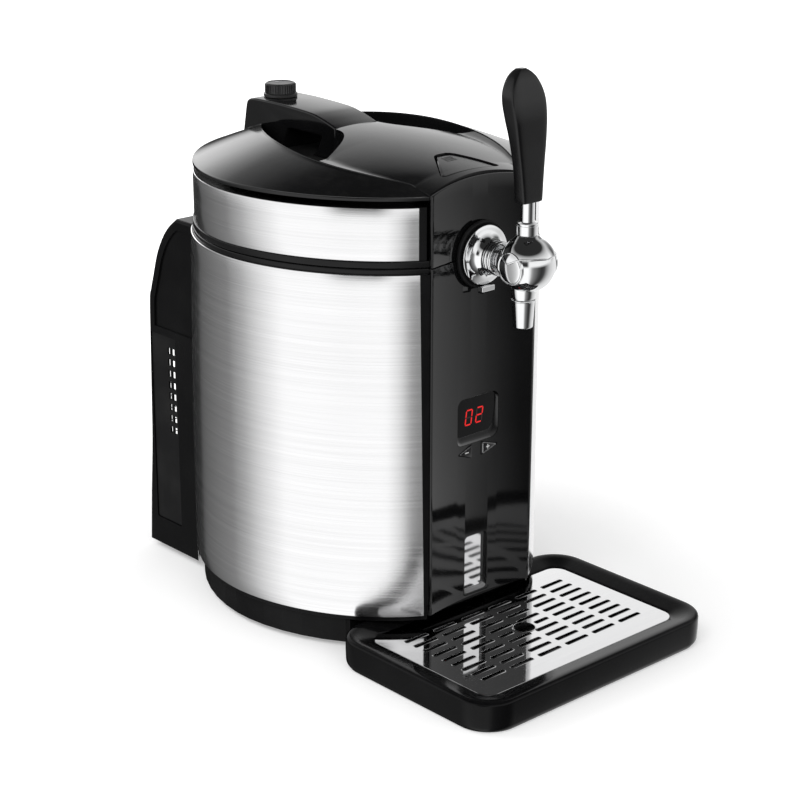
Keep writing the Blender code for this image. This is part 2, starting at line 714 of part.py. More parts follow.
def panel_fittings():
    pane_front = panel_y(0)
    make_piece("display_window", "smoked_window",
               *box((-WINDOW_PANE_HALF, pane_front, WINDOW_PANE_BOTTOM),
                    (WINDOW_PANE_HALF, pane_front + PANE_THICKNESS, WINDOW_PANE_TOP)))
    led_z = (WINDOW_PANE_BOTTOM + WINDOW_PANE_TOP - LED_HEIGHT) / 2
    led_front = pane_front + PANE_THICKNESS + GAP
    make_piece("led_display", "led_red",
               *box((-LED_HALF, led_front, led_z), (LED_HALF, BOARD_Y - GAP, led_z + LED_HEIGHT)))
    make_piece("control_board", "circuit_green",
               *box((-BOARD_HALF, BOARD_Y, BOARD_BOTTOM),
                    (BOARD_HALF, BOARD_Y + BOARD_THICKNESS, BOARD_TOP)))
    margin = INSERT_THICKNESS * 2
    make_piece("polished_insert", "mirror_steel",
               *box((-INSERT_HALF - margin, NOTCH_Y, INSERT_BOTTOM - margin + GAP),
                    (INSERT_HALF + margin, NOTCH_Y + INSERT_THICKNESS, INSERT_TOP + margin)))
    for name, tip, base in (("minus_button", MINUS_TIP_X, MINUS_BASE_X),
                            ("plus_button", PLUS_TIP_X, PLUS_BASE_X)):
        middle = (tip + base) / 2
        front = panel_y(middle) - BUTTON_PROUD
        make_piece(name, "gloss_black",
                   *prism(triangle(tip, base, 0), front, BOARD_Y - BUTTON_TRAVEL - GAP, "Y"),
                   (middle, front, BUTTON_Z))


# Rear housing, vents, cooling unit and power parts
SIDE_PROFILE_SHARES = [(0.0, 1.0), (0.32, 0.958), (0.735, 0.932), (0.82, 0.894),
                       (0.935, 0.812)]
SIDE_TOP_SHARE = 0.70
GRILLE_HALF = 0.0700
GRILLE_BELOW = 0.0750
GRILLE_ABOVE = 0.0700
GRILLE_BOTTOM = MODULE_Z - GRILLE_BELOW
GRILLE_TOP = MODULE_Z + GRILLE_ABOVE
GRILLE_BARS = 12
GRILLE_BAR = 0.0040
GRILLE_THICKNESS = 0.0025
GRILLE_FRAME = 0.0050
VENT_ROWS = 8
VENT_PITCH = 0.0100
VENT_SLOT_HEIGHT = 0.0060
VENT_SLOT_DEPTH = 0.0090
VENT_SLOT_DROP = 0.0100
VENT_SLOT_TOP = VENT_BOTTOM + VENT_HEIGHT - VENT_SLOT_DROP
INLET_WIDTH = 0.0280
INLET_HEIGHT = 0.0220
INLET_DEPTH = 0.0180
INLET_X = 0.0550
INLET_RISE = 0.0105
INLET_Z = PLINTH_TOP + INLET_RISE
INLET_WALL = 0.0020


def housing_side(inset):
    rear = HOUSING_REAR - inset
    low = HOUSING_BOTTOM + inset
    high = HOUSING_TOP - inset
    points = [(0, low)]
    for height_share, depth_share in SIDE_PROFILE_SHARES:
        points.append((rear * depth_share, low + (high - low) * height_share))
    points.append((rear * SIDE_TOP_SHARE, high))
    points.append((0, high))
    return points


def body_core(inset, low, high):
    rings = []
    for level in range(WRAP_LEVELS + 1):
        z = low + (high - low) * level / WRAP_LEVELS
        span = max(min(z, BAND_TOP), 0)
        outline = body_outline(span, 1.0, inset, NOTCH_HALF, NOTCH_Y)
        rings.append(ring_at(outline, z))
    return loft(rings)


def rear_housing():
    half = HOUSING_HALF_WIDTH
    piece = make_piece("rear_housing", "satin_black", *prism(housing_side(0), -half, half, "X"))
    cut(piece, body_core(-BODY_FIT, HOUSING_BOTTOM - OVERRUN, HOUSING_TOP + OVERRUN), "housing_fit")
    inner = half - HOUSING_WALL
    cut(piece, prism(housing_side(HOUSING_WALL), -inner, inner, "X"), "housing_hollow")
    grille = box((-GRILLE_HALF, BODY_REAR, GRILLE_BOTTOM),
                 (GRILLE_HALF, HOUSING_REAR + OVERRUN, GRILLE_TOP))
    cut(piece, grille, "housing_rear_opening")
    side = box((-half - OVERRUN, VENT_FRONT_Y, VENT_BOTTOM),
               (half + OVERRUN, VENT_FRONT_Y + VENT_DEPTH, VENT_BOTTOM + VENT_HEIGHT))
    cut(piece, side, "housing_side_openings")
    inlet = box((INLET_X - INLET_WIDTH / 2 - GAP, BODY_REAR, INLET_Z - INLET_HEIGHT / 2 - GAP),
                (INLET_X + INLET_WIDTH / 2 + GAP, HOUSING_REAR + OVERRUN,
                 INLET_Z + INLET_HEIGHT / 2 + GAP))
    return cut(piece, inlet, "housing_inlet_opening")


def vent_panels():
    high = VENT_BOTTOM + VENT_HEIGHT
    for name, side in (("side_vent_left", -1), ("side_vent_right", 1)):
        outer = side * (HOUSING_HALF_WIDTH - HOUSING_WALL / 3)
        inner = side * (HOUSING_HALF_WIDTH - HOUSING_WALL)
        solid = box((min(outer, inner), VENT_FRONT_Y + GAP, VENT_BOTTOM + GAP),
                    (max(outer, inner), VENT_FRONT_Y + VENT_DEPTH - GAP, high - GAP))
        piece = make_piece(name, "matt_black", *solid)
        slots = []
        for row in range(VENT_ROWS):
            top = VENT_SLOT_TOP - row * VENT_PITCH
            start = VENT_FRONT_Y + VENT_SLOT_DEPTH / 3
            slots.append(box((min(outer, inner) - OVERRUN, start, top - VENT_SLOT_HEIGHT),
                             (max(outer, inner) + OVERRUN, start + VENT_SLOT_DEPTH, top)))
        cut(piece, merged(*slots), name + "_slots")


def rear_wall_y(z, inset=0):
    profile = housing_side(inset)
    for (near_y, near_z), (far_y, far_z) in zip(profile[1:], profile[2:]):
        if near_z <= z <= far_z:
            return near_y + (far_y - near_y) * (z - near_z) / (far_z - near_z)
    return profile[1][0]


def rear_grille():
    low = GRILLE_BOTTOM + GAP
    high = GRILLE_TOP - GAP
    half = GRILLE_HALF - GAP
    rings = []
    for z in (low, HOUSING_BOTTOM + (HOUSING_TOP - HOUSING_BOTTOM) * SIDE_PROFILE_SHARES[1][0],
              high):
        y = rear_wall_y(z) - GAP
        rings.append([(-half, y - GRILLE_THICKNESS, z), (half, y - GRILLE_THICKNESS, z),
                      (half, y, z), (-half, y, z)])
    piece = make_piece("rear_grille", "matt_black", *loft(rings))
    first = low + GRILLE_FRAME
    pitch = (high - GRILLE_FRAME - first) / GRILLE_BARS
    slots = []
    for column in (-1, 1):
        near = column * GRILLE_BAR / 2
        far = column * (half - GRILLE_FRAME)
        for row in range(GRILLE_BARS):
            z = first + row * pitch
            slots.append(box((min(near, far), BODY_REAR, z),
                             (max(near, far), HOUSING_REAR + OVERRUN, z + pitch - GRILLE_BAR)))
    return cut(piece, merged(*slots), "grille_slots")


FAN_HUB_THICKNESS = 0.0030
BLADE_THICKNESS = 0.0012
BLADE_TILT_DEGREES = 32
BLADE_CLEARANCE = 0.0020


def cold_block():
    half = COLD_BLOCK_SIZE / 2
    near = WELL_OUTER * 0.8
    piece = make_piece("cold_block", "aluminium",
                       *box((-half, near, MODULE_Z - half),
                            (half, MODULE_Y - GAP, MODULE_Z + half)))
    radius = WELL_OUTER + GAP
    bore = turned([(radius, MODULE_Z - COLD_BLOCK_SIZE), (radius, MODULE_Z + COLD_BLOCK_SIZE)])
    return cut(piece, bore, "cold_block_seat")


def cooling_unit():
    half = MODULE_SIZE / 2
    make_piece("thermoelectric_module", "ceramic",
               *box((-half, MODULE_Y, MODULE_Z - half),
                    (half, MODULE_Y + MODULE_THICKNESS, MODULE_Z + half)))
    width = SINK_WIDTH / 2
    pitch = (SINK_WIDTH - FIN_THICKNESS) / (FIN_COUNT - 1)
    back = SINK_Y + SINK_BASE
    outline = [(-width, SINK_Y), (width, SINK_Y)]
    for fin in reversed(range(FIN_COUNT)):
        left = -width + fin * pitch
        outline += [(left + FIN_THICKNESS, back), (left + FIN_THICKNESS, back + SINK_FIN),
                    (left, back + SINK_FIN), (left, back)]
    cleaned = [outline[0], outline[1]] + outline[3:-1]
    make_piece("heat_sink", "aluminium",
               *prism(cleaned, MODULE_Z - SINK_HEIGHT / 2, MODULE_Z + SINK_HEIGHT / 2))


def cooling_fan():
    half = FAN_SIZE / 2
    frame = make_piece("fan_frame", "matt_black",
                       *box((-half, FAN_Y, MODULE_Z - half),
                            (half, FAN_Y + FAN_DEPTH, MODULE_Z + half)))
    center = (0, 0, MODULE_Z)
    bore = turned([(FAN_BORE, FAN_Y - OVERRUN), (FAN_BORE, FAN_Y + FAN_DEPTH + OVERRUN)],
                  ROUND, "Y", center)
    cut(frame, bore, "fan_bore")
    plate_y = FAN_Y + FAN_DEPTH - FAN_HUB_THICKNESS
    arm = FAN_HUB_THICKNESS
    reach = FAN_BORE + arm
    arms = box((-reach, plate_y, MODULE_Z - arm), (reach, FAN_Y + FAN_DEPTH, MODULE_Z + arm))
    fuse(frame, arms, "fan_arms")
    hub = turned([(FAN_HUB, plate_y), (FAN_HUB, FAN_Y + FAN_DEPTH)], SMALL_ROUND, "Y", center)
    fuse(frame, hub, "fan_hub_plate")
    rotor_back = plate_y - GAP
    rotor_front = FAN_Y + GAP
    rotor = make_piece("fan_rotor", "matt_black",
                       *turned([(FAN_HUB, rotor_front), (FAN_HUB, rotor_back)], SMALL_ROUND,
                               "Y", center), center)
    blades = []
    middle_y = (rotor_front + rotor_back) / 2
    chord = (rotor_back - rotor_front) / 2
    lean = math.radians(BLADE_TILT_DEGREES)
    for index in range(FAN_BLADES):
        turn = 2 * math.pi * index / FAN_BLADES
        points = []
        for radius in (FAN_HUB * 0.8, FAN_BORE - BLADE_CLEARANCE):
            for along, across in ((-1, -1), (1, -1), (1, 1), (-1, 1)):
                side = along * chord * math.cos(lean) + across * BLADE_THICKNESS * math.sin(lean)
                depth = along * chord * math.sin(lean) - across * BLADE_THICKNESS * math.cos(lean)
                x = radius * math.cos(turn) - side * math.sin(turn)
                z = radius * math.sin(turn) + side * math.cos(turn)
                points.append((x, middle_y + depth, MODULE_Z + z))
        blades.append(loft([points[:4], points[4:]]))
    fuse(rotor, merged(*blades), "fan_blades")


POWER_BOARD_HALF = 0.0300
POWER_BOARD_HEIGHT = 0.0360
POWER_BOARD_X = -0.0300
CAPACITOR_DEPTH = 0.0090


def power_parts():
    y = COMPARTMENT_FRONT_Y + GAP
    low_x = POWER_BOARD_X - POWER_BOARD_HALF
    high_x = POWER_BOARD_X + POWER_BOARD_HALF
    board = make_piece("power_board", "circuit_green",
                       *box((low_x, y, SPIGOT_TOP + GAP),
                            (high_x, y + BOARD_THICKNESS, SPIGOT_TOP + GAP + POWER_BOARD_HEIGHT)))
    block = box((low_x + CAPACITOR_DEPTH, y + BOARD_THICKNESS / 2,
                 SPIGOT_TOP + CAPACITOR_DEPTH),
                (high_x - CAPACITOR_DEPTH, y + CAPACITOR_DEPTH,
                 SPIGOT_TOP + GAP + POWER_BOARD_HEIGHT - CAPACITOR_DEPTH))
    fuse(board, block, "power_block")
    back = rear_wall_y(INLET_Z + INLET_HEIGHT / 2) - GAP
    half_x = INLET_WIDTH / 2
    half_z = INLET_HEIGHT / 2
    inlet = make_piece("power_inlet", "matt_black",
                       *box((INLET_X - half_x, back - INLET_DEPTH, INLET_Z - half_z),
                            (INLET_X + half_x, back, INLET_Z + half_z)))
    socket = box((INLET_X - half_x + INLET_WALL, back - INLET_DEPTH + INLET_WALL,
                  INLET_Z - half_z + INLET_WALL),
                 (INLET_X + half_x - INLET_WALL, back + OVERRUN,
                  INLET_Z + half_z - INLET_WALL))
    cut(inlet, socket, "inlet_socket")


# Drip tray and its slotted plate
TRAY_CORNER_STEPS = 5
TRAY_STEP = 0.0060
HOLE_RADIUS = 0.0045


def rounded_rectangle(half_x, low_y, high_y, radius, steps=TRAY_CORNER_STEPS):
    centers = [(half_x - radius, low_y + radius, -90), (half_x - radius, high_y - radius, 0),
               (-half_x + radius, high_y - radius, 90), (-half_x + radius, low_y + radius, 180)]
    points = []
    for x, y, start in centers:
        for step in range(steps + 1):
            angle = math.radians(start + 90 * step / steps)
            points.append((x + radius * math.cos(angle), y + radius * math.sin(angle)))
    return points


def drip_tray():
    front = -TRAY_FRONT
    rear = -TRAY_REAR
    ledge = PLATE_TOP - PLATE_THICKNESS - GAP
    plate_inset = TRAY_HALF_WIDTH - PLATE_HALF_WIDTH - GAP
    edge = TRAY_RIM * 0.25
    levels = [
        (edge, 0, TRAY_RADIUS), (0, edge, TRAY_RADIUS), (0, TRAY_HEIGHT * 0.8, TRAY_RADIUS),
        (edge, TRAY_HEIGHT, TRAY_RADIUS), (plate_inset, PLATE_TOP, PLATE_RADIUS),
        (plate_inset, ledge, PLATE_RADIUS),
        (plate_inset + TRAY_STEP, ledge, PLATE_RADIUS),
        (plate_inset + TRAY_STEP, TRAY_FLOOR, PLATE_RADIUS),
    ]
    rings = []
    for inset, z, radius in levels:
        outline = rounded_rectangle(TRAY_HALF_WIDTH - inset, front + inset, rear - inset, radius)
        rings.append(ring_at(outline, z))
    return make_piece("drip_tray", "gloss_black", *loft(rings))


def tray_plate():
    inset = TRAY_HALF_WIDTH - PLATE_HALF_WIDTH
    front = -TRAY_FRONT + inset
    rear = -TRAY_REAR - inset
    outline = rounded_rectangle(PLATE_HALF_WIDTH, front, rear, PLATE_RADIUS - GAP)
    low = PLATE_TOP - PLATE_THICKNESS
    piece = make_piece("tray_plate", "mirror_steel", *prism(outline, low, PLATE_TOP))
    middle = (front + rear) / 2
    slots = []
    for column in range(SLOT_COLUMNS):
        x = (column - (SLOT_COLUMNS - 1) / 2) * SLOT_PITCH_X
        for row in range(SLOT_ROWS):
            y = middle + (row - (SLOT_ROWS - 1) / 2) * SLOT_PITCH_Y
            half = SLOT_LENGTH / 2
            near = x - half
            far = x + half
            if abs(y - middle) < SLOT_PITCH_Y / 2 and abs(x) < SLOT_PITCH_X:
                near = min(near, far) if x < 0 else HOLE_RADIUS * 2
                far = far if x > 0 else -HOLE_RADIUS * 2
            slots.append(box((near, y - SLOT_WIDTH / 2, low - OVERRUN),
                             (far, y + SLOT_WIDTH / 2, PLATE_TOP + OVERRUN)))
    hole = turned([(HOLE_RADIUS, low - OVERRUN), (HOLE_RADIUS, PLATE_TOP + OVERRUN)],
                  SMALL_ROUND, "Z", (0, middle, 0))
    return cut(piece, merged(*slots, hole), "plate_slots")


# Tap: seat, flange, shank, nuts, ball and nozzle
SEAT_THICKNESS = 0.0030
SHANK_BORE = 0.0035
SHANK_TAIL = 0.0239
BALL_NECK_REACH = 0.0024
NECK_WALL = 0.0025
BALL_FLAT_DEPTH = 0.0036
COLLAR_LENGTH = 0.0075
FLANGE_REACH = 0.0101
LOCK_NUT_THICKNESS = 0.0055
NOZZLE_RADIUS = 0.0085
NOZZLE_TIP_RADIUS = 0.0072
NOZZLE_SET_BACK = 0.0040
NOZZLE_RING_DROP = 0.0077
NOZZLE_LENGTH = 0.0201
NOZZLE_RING_PROUD = 0.0007
SHANK_TAIL_Y = PANEL_CORNER_Y + SHANK_TAIL
BALL_NECK_Y = TAP_BALL_Y + TAP_BALL_RADIUS + BALL_NECK_REACH
BALL_NECK_RADIUS = SHANK_RADIUS + NECK_WALL
COLLAR_RADIUS = BALL_NECK_RADIUS + NECK_WALL
BALL_FLAT_X = TAP_BALL_RADIUS - BALL_FLAT_DEPTH
FLANGE_FRONT_Y = PANEL_CORNER_Y - FLANGE_REACH
NOZZLE_Y = TAP_BALL_Y + NOZZLE_SET_BACK
NOZZLE_RING_RADIUS = NOZZLE_RADIUS + NOZZLE_RING_PROUD
TAB_HALF = 0.0065
TAB_HEIGHT = 0.0035
TAB_DEPTH = 0.0060
SIX_SIDES = 6
BALL_Z = TAP_Z + TAP_BALL_RISE
NOZZLE_RING_Z = BALL_Z - TAP_BALL_RADIUS - NOZZLE_RING_DROP
NOZZLE_TIP_Z = NOZZLE_RING_Z - NOZZLE_LENGTH
SEAT_BACK_Y = panel_y(SEAT_RADIUS) - GAP
SEAT_FRONT_Y = SEAT_BACK_Y - SEAT_THICKNESS


def ring_on_shank(name, finish, profile):
    bore = SHANK_RADIUS + GAP
    first = profile[0][1]
    last = profile[-1][1]
    closed_profile = [(bore, first)] + profile + [(bore, last)]
    return make_piece(name, finish,
                      *turned(closed_profile, ROUND, "Y", (0, 0, TAP_Z), True), (0, 0, 0), True)


def tap_mount():
    ring_on_shank("tap_seat", "satin_black", [(SEAT_RADIUS, SEAT_BACK_Y),
                                              (SEAT_RADIUS, SEAT_FRONT_Y)])
    back = SEAT_FRONT_Y - GAP
    run = back - FLANGE_FRONT_Y
    flange = [(FLANGE_RADIUS, back), (FLANGE_RADIUS, back - run * 0.12),
              (FLANGE_RADIUS * 0.72, back - run * 0.38), (FLANGE_RADIUS * 0.53, back - run * 0.7),
              (FLANGE_RADIUS * 0.48, FLANGE_FRONT_Y)]
    ring_on_shank("tap_flange", "chrome", flange)
    collar_back = FLANGE_FRONT_Y - GAP
    collar_front = collar_back - COLLAR_LENGTH
    ring_on_shank("tap_collar_nut", "chrome",
                  [(COLLAR_RADIUS, collar_back), (COLLAR_RADIUS, collar_front)])
    nut_front = NOTCH_Y + GAP
    nut_back = nut_front + LOCK_NUT_THICKNESS
    nut = make_piece("tap_lock_nut", "chrome",
                     *turned([(NUT_RADIUS, nut_front), (NUT_RADIUS, nut_back)], SIX_SIDES, "Y",
                             (0, 0, TAP_Z)))
    bore = SHANK_RADIUS + GAP
    cut(nut, turned([(bore, nut_front - OVERRUN), (bore, nut_back + OVERRUN)], SMALL_ROUND, "Y",
                    (0, 0, TAP_Z)), "lock_nut_bore")
    low = TAP_Z - FLANGE_RADIUS - TAB_HEIGHT - GAP
    make_piece("tap_tab", "chrome",
               *box((-TAB_HALF, SEAT_FRONT_Y - TAB_DEPTH, low - TAB_HEIGHT / 4),
                    (TAB_HALF, SEAT_FRONT_Y - GAP, low + TAB_HEIGHT)))


def tap_shank():
    start = BALL_NECK_Y + GAP
    profile = [(SHANK_BORE, SHANK_TAIL_Y), (SHANK_RADIUS, SHANK_TAIL_Y), (SHANK_RADIUS, start),
               (SHANK_BORE, start)]
    make_piece("tap_shank", "chrome", *turned(profile, SMALL_ROUND, "Y", (0, 0, TAP_Z), True),
               (0, 0, 0), True)


def sphere(radius, center, steps=SMALL_ROUND):
    rows = steps // 2
    profile = []
    for row in range(1, rows):
        angle = math.pi * row / rows
        profile.append((radius * math.sin(angle), -radius * math.cos(angle)))
    return turned(profile, steps, "X", center)


def tap_body():
    center = (0, TAP_BALL_Y, BALL_Z)
    piece = make_piece("tap_body", "chrome", *sphere(TAP_BALL_RADIUS, center), (0, 0, 0), True)
    neck = turned([(BALL_NECK_RADIUS, BALL_NECK_Y), (BALL_NECK_RADIUS, TAP_BALL_Y)], SMALL_ROUND,
                  "Y", (0, 0, TAP_Z))
    fuse(piece, neck, "ball_neck")
    stub = turned([(NOZZLE_RADIUS, NOZZLE_RING_Z + GAP * 6), (NOZZLE_RADIUS, BALL_Z)],
                  SMALL_ROUND, "Z", (0, NOZZLE_Y, 0))
    fuse(piece, stub, "ball_outlet")
    size = TAP_BALL_RADIUS + OVERRUN
    for side in (-1, 1):
        near = side * BALL_FLAT_X
        far = side * size
        flat = box((min(near, far), TAP_BALL_Y - size, BALL_Z - size),
                   (max(near, far), TAP_BALL_Y + size, BALL_Z + size))
        cut(piece, flat, "ball_flat_left" if side < 0 else "ball_flat_right")
    low = NOZZLE_TIP_Z - OVERRUN
    bore = turned([(SHANK_BORE, low), (SHANK_BORE, TAP_Z + SHANK_BORE)], SMALL_ROUND, "Z",
                  (0, NOZZLE_Y, 0))
    cut(piece, bore, "outlet_bore")
    feed = turned([(SHANK_BORE, BALL_NECK_Y + OVERRUN), (SHANK_BORE, NOZZLE_Y)], SMALL_ROUND,
                  "Y", (0, 0, TAP_Z))
    return cut(piece, feed, "feed_bore")


def tap_nozzle():
    ring_top = NOZZLE_RING_Z + GAP * 5
    ring_low = NOZZLE_RING_Z - GAP * 5
    profile = [(SHANK_BORE, ring_top), (SHANK_BORE, NOZZLE_TIP_Z),
               (NOZZLE_TIP_RADIUS, NOZZLE_TIP_Z), (NOZZLE_RADIUS, ring_low),
               (NOZZLE_RING_RADIUS, ring_low), (NOZZLE_RING_RADIUS, ring_top)]
    make_piece("tap_nozzle", "chrome",
               *turned(profile, SMALL_ROUND, "Z", (0, NOZZLE_Y, 0), True), (0, 0, 0), True)


# Lever: bonnet on the ball, stem and handle
EAR_RADIUS = 0.0125
EAR_THICKNESS = 0.0030
BONNET_EDGE = 0.0075
STEM_RADIUS = 0.0052
STEM_COLLAR_WALL = 0.0026
STEM_COLLAR_HEIGHT = 0.0097
STEM_SET_BACK = 0.0015
STEM_SHOWN = 0.0150
STEM_IN_HANDLE = 0.0040
HANDLE_HEIGHT = 0.0975
EAR_OUTER_X = BALL_FLAT_X + EAR_THICKNESS
STEM_COLLAR_RADIUS = STEM_RADIUS + STEM_COLLAR_WALL
STEM_Y = TAP_BALL_Y + STEM_SET_BACK
STEM_COLLAR_BOTTOM = BALL_Z + BONNET_RADIUS + GAP
STEM_COLLAR_TOP = STEM_COLLAR_BOTTOM + STEM_COLLAR_HEIGHT
HANDLE_BOTTOM = STEM_COLLAR_TOP + STEM_SHOWN
HANDLE_TOP = HANDLE_BOTTOM + HANDLE_HEIGHT
STEM_TOP = HANDLE_BOTTOM + STEM_IN_HANDLE
HANDLE_HALF_WIDTH = 0.0130
HANDLE_DEPTH = 0.0270
HANDLE_SHARES = [(0.00, 0.315, 0.178, 0.81), (0.12, 0.296, 0.241, 0.86),
                 (0.46, 0.270, 0.352, 0.94), (0.60, 0.285, 0.504, 0.985),
                 (0.74, 0.278, 0.715, 1.0), (0.86, 0.204, 0.693, 0.94),
                 (0.94, 0.111, 0.574, 0.785), (1.00, -0.019, 0.407, 0.46)]
HANDLE_SQUARENESS_SHARE = 0.6


def tap_bonnet():
    center = (0, TAP_BALL_Y, BALL_Z)
    piece = make_piece("tap_bonnet", "chrome", *sphere(BONNET_RADIUS, center), center, True)
    size = BONNET_RADIUS + OVERRUN
    cut(piece, sphere(TAP_BALL_RADIUS + FIT, center), "bonnet_inside")
    below = box((-size, TAP_BALL_Y - size, BALL_Z - size),
                (size, TAP_BALL_Y + size, BALL_Z + BONNET_EDGE))
    cut(piece, below, "bonnet_skirt")
    radius = BALL_NECK_RADIUS + FIT
    neck = turned([(radius, BALL_NECK_Y), (radius, TAP_BALL_Y)], SMALL_ROUND, "Y", (0, 0, TAP_Z))
    cut(piece, neck, "bonnet_neck_notch")
    for side in (-1, 1):
        near = side * (BALL_FLAT_X + GAP)
        far = side * EAR_OUTER_X
        ear = turned([(EAR_RADIUS, min(near, far)), (EAR_RADIUS, max(near, far))], SMALL_ROUND,
                     "X", center)
        fuse(piece, ear, "ear_left" if side < 0 else "ear_right")
    return piece


def lever_stem():
    center = (0, TAP_BALL_Y, BALL_Z)
    profile = [(STEM_COLLAR_RADIUS, STEM_COLLAR_BOTTOM), (STEM_COLLAR_RADIUS, STEM_COLLAR_TOP),
               (STEM_RADIUS, STEM_COLLAR_TOP + GAP), (STEM_RADIUS, STEM_TOP)]
    solid = turned(profile, SMALL_ROUND, "Z", (0, STEM_Y, 0))
    return make_piece("lever_stem", "chrome", *solid, center, True)


def lever_handle():
    center = (0, TAP_BALL_Y, BALL_Z)
    rings = []
    for height_share, front_share, rear_share, width_share in HANDLE_SHARES:
        z = HANDLE_BOTTOM + (HANDLE_TOP - HANDLE_BOTTOM) * height_share
        front = STEM_Y - HANDLE_DEPTH * front_share
        rear = STEM_Y + HANDLE_DEPTH * rear_share
        half = HANDLE_HALF_WIDTH * width_share
        ring = []
        for step in range(LEVER_STEPS):
            angle = 2 * math.pi * (step + 0.5) / LEVER_STEPS
            power = HANDLE_SQUARENESS_SHARE
            x = half * math.copysign(abs(math.cos(angle)) ** power, math.cos(angle))
            along = math.copysign(abs(math.sin(angle)) ** power, math.sin(angle))
            ring.append((x, (front + rear) / 2 + along * (rear - front) / 2, z))
        rings.append(ring)
    piece = make_piece("lever_handle", "satin_black", *loft(rings), center, True)
    radius = STEM_RADIUS + GAP
    bore = turned([(radius, HANDLE_BOTTOM - OVERRUN), (radius, STEM_TOP + GAP)], SMALL_ROUND,
                  "Z", (0, STEM_Y, 0))
    return cut(piece, bore, "handle_socket")


# Beer line from the shank over the deck to the keg connector
HOSE_RADIUS = 0.0045
HOSE_POINTS_SHARES = [(-1.0, 0.0), (-0.86, 0.0), (-0.60, 0.35), (-0.30, 0.55), (-0.10, 0.45),
                      (0.0, 0.20), (0.0, -0.35)]
HOSE_RISE = 0.0160
HOSE_STEPS = 5
CONNECTOR_RADIUS = 0.0090
CONNECTOR_HEIGHT = 0.0160


def smooth_route(points, steps):
    padded = [points[0]] + points + [points[-1]]
    route = []
    for index in range(1, len(padded) - 2):
        before, start, end, after = (Vector(p) for p in padded[index - 1:index + 3])
        for step in range(steps):
            t = step / steps
            route.append(0.5 * (2 * start + (end - before) * t
                                + (2 * before - 5 * start + 4 * end - after) * t ** 2
                                + (3 * start - before - 3 * end + after) * t ** 3))
    route.append(Vector(padded[-1]))
    return route


def beer_line():
    reach = -SHANK_TAIL_Y - GAP
    points = [(0, reach * along, TAP_Z + HOSE_RISE * up) for along, up in HOSE_POINTS_SHARES]
    route = smooth_route(points, HOSE_STEPS)
    rings = []
    count = SMALL_ROUND // 3
    for index, point in enumerate(route):
        ahead = route[min(index + 1, len(route) - 1)]
        behind = route[max(index - 1, 0)]
        tangent = (ahead - behind).normalized()
        if index == 0:
            tangent = Vector((0, 1, 0))
        if index == len(route) - 1:
            tangent = Vector((0, 0, -1))
        across = Vector((1, 0, 0))
        up = across.cross(tangent)
        ring = []
        for step in range(count):
            angle = 2 * math.pi * step / count
            spoke = across * math.cos(angle) + up * math.sin(angle)
            ring.append(tuple(point + spoke * HOSE_RADIUS))
        rings.append(ring)
    make_piece("beer_line", "clear_hose", *loft(rings), (0, 0, 0), True)
    top = points[-1][2] - GAP
    profile = [(CONNECTOR_RADIUS, top - CONNECTOR_HEIGHT), (CONNECTOR_RADIUS, top - HOSE_RADIUS),
               (HOSE_RADIUS, top)]
    make_piece("keg_connector", "satin_black", *turned(profile, SMALL_ROUND), (0, 0, 0), True)


# Lid: shell, band, liner, front, lobes, spine, bridge handle and floor
SHELL_FLOOR_INSET = 0.0034
ROOF_THICKNESS = 0.0030
LINER_WALL = 0.0025
LINER_MARGIN = 0.0060
LINER_RADIUS = GASKET_RADIUS + LINER_MARGIN
LINER_DROP = 0.0108
LINER_CEILING_Z = BAND_TOP - LINER_DROP
HINGE_ARM_HALF = 0.0150
LOBE_ROWS = 24
LOBE_SHARES = [0.0, 0.045, 0.05, 0.25, 0.5, 0.75, 1.0]
LOBE_FRONT_SET_IN = 0.0184
LOBE_REAR_SET_IN = 0.0352
LOBE_FRONT_Y = PANEL_CORNER_Y + LOBE_FRONT_SET_IN
LOBE_REAR_Y = BODY_REAR - LOBE_REAR_SET_IN
SPINE_ROWS = 24
SPINE_COLUMNS = 12


def hinge_pivot():
    return (0, HINGE_Y, HINGE_Z)


